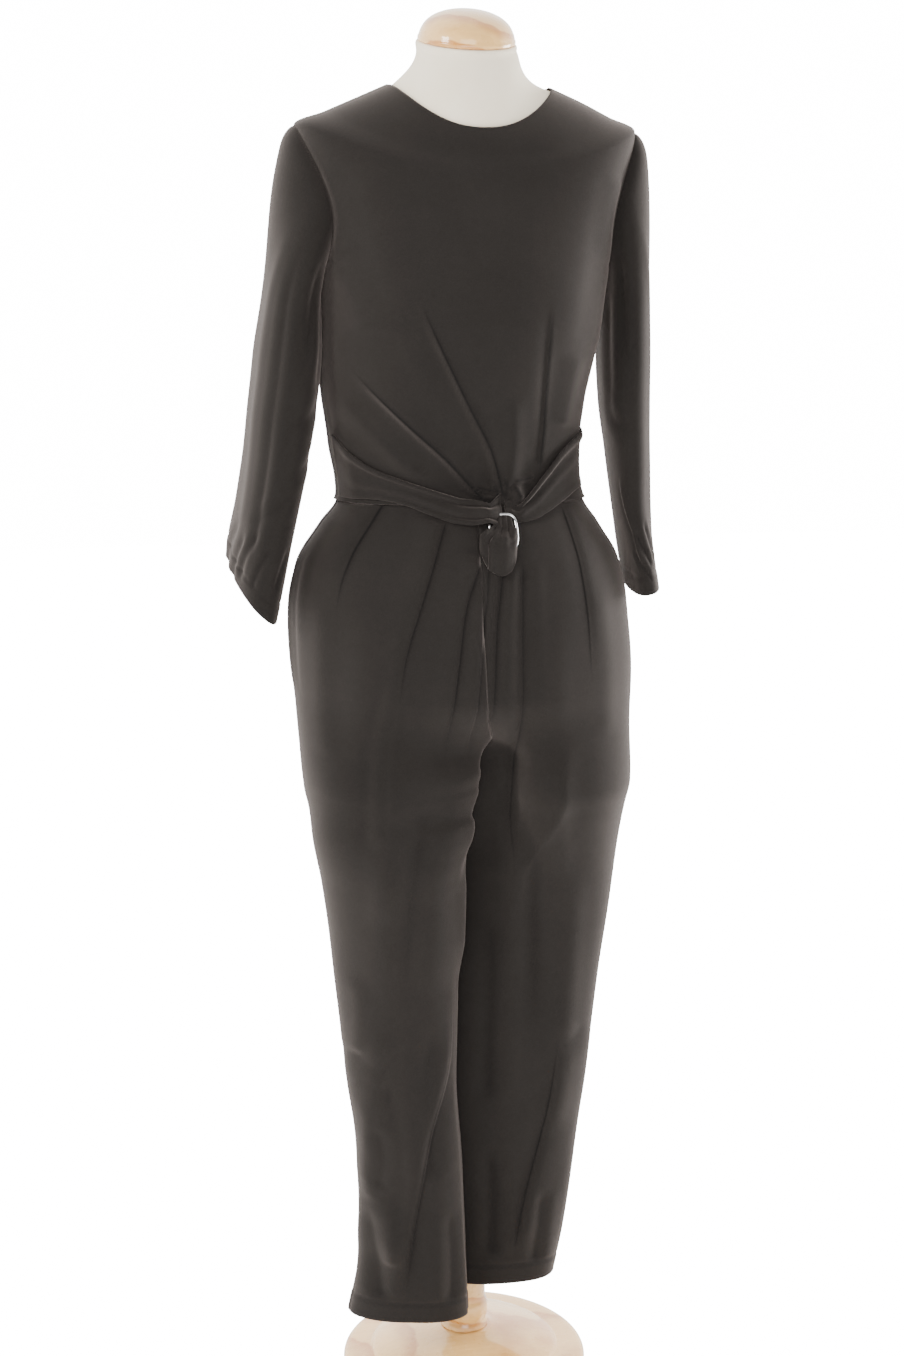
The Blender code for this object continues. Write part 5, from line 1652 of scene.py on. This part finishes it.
class Graph:
    """A node tree, with short ways to add to it."""

    def __init__(self, tree: bpy.types.NodeTree) -> None:
        """Takes the tree that the nodes go into."""
        self.tree = tree

    def feed(self, target: Socket, value: object) -> None:
        """Gives a socket a value, or joins another socket to it."""
        if isinstance(value, bpy.types.NodeSocket):
            self.tree.links.new(value, target)
        else:
            target.default_value = value

    def add(self, kind: str, *inputs: object, **values: object) -> bpy.types.Node:
        """Adds a node.

        Args:
            kind: The node's type.
            inputs: What its first sockets get, in order.
            values: What its attributes and sockets get, by name, with _ for a space.

        Returns:
            The node.
        """
        node = self.tree.nodes.new(kind)
        for key, value in values.items():
            if hasattr(node, key):
                setattr(node, key, value)
            else:
                self.feed(node.inputs[key.replace("_", " ")], value)
        for socket, value in zip(node.inputs, inputs):
            self.feed(socket, value)
        return node

    def ramp(self, source: Socket, stops: Sequence[tuple[float, Colour]], smooth: bool = False) -> Socket:
        """Turns a value into a colour.

        Args:
            source: The value.
            stops: Places along it, with their colours.
            smooth: Whether the colours run into each other without corners.

        Returns:
            The colour.
        """
        node = self.add("ShaderNodeValToRGB", Fac=source)
        node.color_ramp.interpolation = "B_SPLINE" if smooth else "LINEAR"
        elements = node.color_ramp.elements
        while len(elements) < len(stops):
            elements.new(0.5)
        for element, (place, colour) in zip(elements, stops):
            element.position = place
            element.color = (*colour, 1.0)
        return node.outputs["Color"]

    def spread(self, source: Socket, low: float, high: float, start: float = 0.3, end: float = 0.7) -> Socket:
        """Maps a value from start..end to low..high."""
        return self.add("ShaderNodeMapRange", Value=source, From_Min=start, From_Max=end, To_Min=low,
                        To_Max=high).outputs["Result"]


class Nodes(Graph):
    """A material's nodes, round one Principled shader."""

    def __init__(self, name: str) -> None:
        """Starts a material.

        Args:
            name: The material's name.
        """
        self.material = bpy.data.materials.new(name)
        self.material.use_nodes = True
        super().__init__(self.material.node_tree)
        self.shader = self.tree.nodes["Principled BSDF"]
        self.place = self.add("ShaderNodeTexCoord").outputs["Object"]

    def surface(self, **values: object) -> None:
        """Feeds the shader's own sockets, by name."""
        for key, value in values.items():
            self.feed(self.shader.inputs[key.replace("_", " ")], value)

    def attribute(self, name: str) -> Socket:
        """A value that the mesh carries."""
        return self.add("ShaderNodeAttribute", attribute_name=name).outputs["Fac"]

    def mapped(self, **values: object) -> Socket:
        """The object's own coordinates, moved, turned or scaled."""
        return self.add("ShaderNodeMapping", Vector=self.place, **values).outputs["Vector"]

    def noise(self, scale: float, detail: float = 3.0, roughness: float = 0.55,
              stretch: Point | None = None) -> Socket:
        """A noise on the object's own coordinates.

        Args:
            scale: Features to the metre.
            detail: Octaves.
            roughness: Weight of the finer octaves.
            stretch: Scales of the three axes, if the pattern is drawn out.

        Returns:
            The noise's value.
        """
        place = self.mapped(Scale=stretch) if stretch else self.place
        return self.add("ShaderNodeTexNoise", Vector=place, Scale=scale, Detail=detail,
                        Roughness=roughness).outputs["Fac"]

    def multiply(self, below: Socket, above: Socket, share: Socket | float = 1.0) -> Socket:
        """One colour times another.

        Args:
            below: The first colour.
            above: The second colour.
            share: How much of the second one counts.

        Returns:
            The product.
        """
        mix = self.add("ShaderNodeMix", data_type="RGBA", blend_type="MULTIPLY")
        for index, value in ((0, share), (6, below), (7, above)):
            self.feed(mix.inputs[index], value)
        return mix.outputs[2]

    def bump(self, *layers: tuple[Socket, float, float]) -> None:
        """Stacks bumps of value, strength and distance under the shader's normal."""
        below: dict[str, Socket] = {}
        for source, strength, distance in layers:
            node = self.add("ShaderNodeBump", Strength=strength, Distance=distance, Height=source, **below)
            below = {"Normal": node.outputs["Normal"]}
        self.surface(**below)


@dataclass(frozen=True)
class Crepe:
    """Matt wool-touch crepe: pebbled, with painted shade in its folds and along their edges, and a soft bloom
    at grazing angles.
    """

    deep: Colour = (0.0094, 0.0079, 0.0070)
    worn: Colour = (0.0126, 0.0107, 0.0095)
    bloom: Colour = (0.95, 0.82, 0.76)
    # painted shade: the darkening deep in the folds and on the shoulders of the painted fold lines
    trough: Colour = (0.62, 0.60, 0.60)
    # painted shadow: the near-black of the thin lines drawn along the crisp fold edges
    line: tuple[Colour, Colour] = ((0.10, 0.09, 0.09), (0.12, 0.11, 0.11))
    steps: Pairs = ((0.44, 0.0), (0.52, 0.5), (0.575, 0.95), (0.69, 0.75), (1.0, 0.0))
    reach: float = 8.0

    def make(self) -> bpy.types.Material:
        """Makes the material.

        Returns:
            The material, with its nodes.
        """
        n = Nodes("crepe")
        crisp = n.attribute("crisp")
        near = n.spread(n.attribute("near"), 0.0, 1.0, -self.reach, self.reach)
        tone = n.ramp(n.noise(7.0, 4.0, 0.6), ((0.30, self.deep), (0.72, self.worn)))
        # painted shade: the colour darkens where the crease mark says the cloth lies deep in a fold
        inside = n.ramp(n.attribute("crease"), ((0.0, WHITE), (1.0, self.trough)))
        # painted shadow: a thin dark line along the nearest crisp fold edge
        line = n.ramp(near, ((0.26, WHITE), (0.43, self.trough), (0.475, self.line[0]), (0.530, self.line[1]),
                             (0.575, WHITE)))
        step = n.ramp(near, [(at, grey(value)) for at, value in self.steps], smooth=True)
        fold = n.add("ShaderNodeMath", step, crisp, operation="MULTIPLY").outputs["Value"]
        pebble, slub = n.noise(1500.0, 2.5, 0.6), n.noise(520.0, 2.0, 0.5, stretch=(1.0, 1.0, 0.35))
        # the base colour carries the painted fold shade and the painted fold lines
        n.surface(Base_Color=n.multiply(n.multiply(tone, inside), line, crisp),
                  Roughness=n.spread(n.noise(900.0, 2.0), 0.78, 0.94), Sheen_Weight=0.20,
                  Sheen_Roughness=0.50, Sheen_Tint=(*self.bloom, 1.0), Specular_IOR_Level=0.16)
        n.bump((fold, 1.0, 0.0008), (pebble, 0.35, 0.00030), (slub, 0.20, 0.00040))
        return n.material


@dataclass(frozen=True)
class Jersey:
    """Fine cream jersey: soft wales and a little pilling."""

    light: Colour = (0.97, 0.885, 0.715)
    shade: Colour = (0.92, 0.815, 0.625)
    bloom: Colour = (1.0, 0.96, 0.90)

    def make(self) -> bpy.types.Material:
        """Makes the material.

        Returns:
            The material, with its nodes.
        """
        n = Nodes("jersey")
        wales = n.add("ShaderNodeTexWave", wave_type="BANDS", bands_direction="X", wave_profile="SIN",
                      Vector=n.place, Scale=300.0, Distortion=1.6, Detail=2.0, Detail_Scale=3.0)
        n.surface(Base_Color=n.ramp(n.noise(14.0), ((0.3, self.shade), (0.7, self.light))),
                  Roughness=n.spread(n.noise(700.0, 2.0), 0.80, 0.95), Sheen_Weight=0.30, Sheen_Roughness=0.5,
                  Sheen_Tint=(*self.bloom, 1.0), Specular_IOR_Level=0.25)
        n.bump((wales.outputs["Fac"], 0.22, 0.00025), (n.noise(1100.0, 2.0), 0.25, 0.00025))
        return n.material


@dataclass(frozen=True)
class Pine:
    """Varnished honey pine: wide pale rings with darker late wood."""

    early: Colour = (0.93, 0.575, 0.210)
    late: Colour = (0.64, 0.275, 0.060)
    fleck: Colour = (0.86, 0.80, 0.72)
    turn: Point = (0.0, math.radians(78.0), math.radians(12.0))
    pith: Point = (0.16, 0.05, 0.02)
    rings: float = 11.0

    def make(self) -> bpy.types.Material:
        """Makes the material.

        Returns:
            The material, with its nodes.
        """
        n = Nodes("varnished pine")
        wave = n.add("ShaderNodeTexWave", wave_type="RINGS", rings_direction="Z", wave_profile="SAW",
                     Vector=n.mapped(Rotation=self.turn, Location=self.pith), Scale=self.rings,
                     Distortion=3.2, Detail=3.0, Detail_Scale=1.6)
        grain = n.ramp(wave.outputs["Fac"],
                       ((0.0, self.early), (0.62, self.early), (0.93, self.late), (1.0, self.early)))
        flecks = n.noise(260.0, 3.0, 0.6, stretch=(0.10, 1.0, 1.0))
        tone = n.ramp(flecks, ((0.25, self.fleck), (0.75, WHITE)))
        n.surface(Base_Color=n.multiply(grain, tone, 0.75), Roughness=n.spread(n.noise(40.0), 0.22, 0.34),
                  Coat_Weight=0.8, Coat_Roughness=0.06, Coat_IOR=1.5)
        n.bump((flecks, 0.06, 0.0003), (n.noise(22.0, 2.0), 0.05, 0.0020))
        return n.material


@dataclass(frozen=True)
class BrightMetal:
    """Polished plated wire with hair scratches."""

    dull: Colour = (0.93 * 0.86, 0.93 * 0.86, 0.93 * 0.87)
    bright: Colour = (0.86, 0.86, 0.87)

    def make(self) -> bpy.types.Material:
        """Makes the material.

        Returns:
            The material, with its nodes.
        """
        n = Nodes("bright metal")
        n.surface(Base_Color=n.ramp(n.noise(120.0, 2.0), ((0.2, self.dull), (0.8, self.bright))),
                  Roughness=n.spread(n.noise(900.0, stretch=(1.0, 0.2, 0.2)), 0.07, 0.17), Metallic=1.0)
        n.bump((n.noise(700.0, 2.0, stretch=(1.0, 0.15, 0.15)), 0.05, 0.0002))
        return n.material


# ------------------------------------------------------------------ the studio
@dataclass(frozen=True)
class Lamp:
    """A square soft light: its name, place, aim, side, power and colour."""

    name: str
    place: Point
    aim: Point
    size: float
    watts: float
    colour: Colour

    def stand(self) -> None:
        """Puts the light in the scene."""
        data = bpy.data.lights.new(self.name, "AREA")
        data.shape = "SQUARE"
        data.size = self.size
        data.energy = self.watts
        data.color = self.colour
        obj = bpy.data.objects.new(self.name, data)
        obj.location = self.place
        obj.rotation_euler = (Vector(self.aim) - Vector(self.place)).to_track_quat("-Z", "Y").to_euler()
        bpy.context.scene.collection.objects.link(obj)


@dataclass
class Studio:
    """The pale floor, the soft lights and the camera."""

    turn: float = math.radians(-12.0)
    distance: float = 2.33
    height: float = 1.25
    pitch: float = math.radians(10.0)
    sensor: float = 36.0
    lens: float = 55.17
    shift: float = -12.0 / 1356.0
    air: Colour = (1.0, 0.99, 0.975)
    surroundings: Pairs = ((0.0, 0.22), (0.34, 0.50), (0.52, 2.6), (1.0, 3.4))
    sweep: float = 16.0
    lamps: tuple[Lamp, ...] = (
        Lamp("key", (-2.7, -1.5, 2.4), (0.0, 0.0, 0.95), 0.9, 88.0, (1.0, 0.97, 0.94)),
        Lamp("fill", (-0.35, -3.0, 1.5), (0.0, 0.0, 0.95), 1.8, 60.0, (1.0, 0.98, 0.97)),
        Lamp("side", (2.6, 0.4, 1.3), (0.1, 0.0, 1.1), 1.2, 92.0, (1.0, 0.98, 0.97)))

    def camera(self) -> None:
        """The camera, a little to the wearer's right, looking slightly down."""
        ahead = Vector((-math.sin(self.turn), math.cos(self.turn), 0.0))
        data = bpy.data.cameras.new("camera")
        data.sensor_width = self.sensor
        data.lens = self.lens
        data.shift_x = self.shift
        obj = bpy.data.objects.new("camera", data)
        obj.location = -ahead * self.distance + Vector((0.0, 0.0, self.height))
        look = ahead * math.cos(self.pitch) - Vector((0.0, 0.0, math.sin(self.pitch)))
        obj.rotation_euler = look.to_track_quat("-Z", "Y").to_euler()
        bpy.context.scene.collection.objects.link(obj)
        bpy.context.scene.camera = obj

    def light(self) -> None:
        """A warm key at the wearer's right, a fill in front, a lamp at the left and a bright surround behind.

        The camera sees the surround as a plain white sweep.
        """
        world = bpy.data.worlds.new("surroundings")
        world.use_nodes = True
        g = Graph(world.node_tree)
        split = g.add("ShaderNodeSeparateXYZ", g.add("ShaderNodeTexCoord").outputs["Generated"])
        depth = g.spread(split.outputs["Y"], 0.0, 1.0, -1.0, 1.0)
        around = g.tree.nodes["Background"]
        g.feed(around.inputs["Color"], (*self.air, 1.0))
        strength = g.ramp(depth, [(at, grey(value)) for at, value in self.surroundings])
        g.feed(around.inputs["Strength"], strength)
        sweep = g.add("ShaderNodeBackground", Color=(*WHITE, 1.0), Strength=self.sweep)
        mix = g.add("ShaderNodeMixShader", g.add("ShaderNodeLightPath").outputs["Is Camera Ray"],
                    around.outputs["Background"], sweep.outputs["Background"])
        g.feed(g.tree.nodes["World Output"].inputs["Surface"], mix.outputs["Shader"])
        bpy.context.scene.world = world
        for lamp in self.lamps:
            lamp.stand()

    def floor(self) -> None:
        """A wide plain floor, which the camera sees as part of the white sweep."""
        mesh = bmesh.new()
        bmesh.ops.create_grid(mesh, x_segments=2, y_segments=2, size=9.0,
                              matrix=Matrix.Translation((0.0, 0.0, -0.0004)))
        n = Nodes("white floor")
        seen = n.add("ShaderNodeLightPath").outputs["Is Camera Ray"]
        glow = n.add("ShaderNodeMath", seen, self.sweep - 0.5, operation="MULTIPLY").outputs["Value"]
        paint = n.ramp(n.noise(1.5, 2.0), ((0.2, (0.90, 0.90, 0.895)), (0.8, (0.93, 0.93, 0.925))))
        n.surface(Base_Color=paint, Roughness=0.8, Emission_Color=(*WHITE, 1.0), Emission_Strength=glow)
        finish_mesh("floor", mesh, n.material)


def pieces() -> Iterator[bpy.types.Object]:
    """Builds the form, then the garment.

    Yields:
        Each piece, once it is built.
    """
    crepe, jersey, metal, pine = (finish.make() for finish in (Crepe(), Jersey(), BrightMetal(), Pine()))
    bodice, trousers, sleeves, belt, form = Bodice(), Trousers(), Sleeves(), Belt(), DressForm()
    yield form.bust(jersey)
    for turn in (form.cap, form.pole, form.base):
        yield turn(pine)
    yield bodice.front(crepe)
    for side in Side:
        yield bodice.back(side, crepe)
    for face in Face:
        for side in Side:
            yield trousers.panel(side, face, crepe)
    for side in Side:
        yield sleeves.sleeve(side, crepe)
    yield belt.ring(metal)
    for sew in (belt.right, belt.left, belt.tail):
        yield sew(crepe)


def main() -> None:
    """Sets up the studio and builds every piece."""
    logging.basicConfig(level=logging.INFO, format="%(name)s: %(message)s")
    studio = Studio()
    studio.camera()
    studio.light()
    studio.floor()
    for piece in pieces():
        LOG.info("%s, %d faces", piece.name, len(piece.data.polygons))


if __name__ == "__main__":
    main()
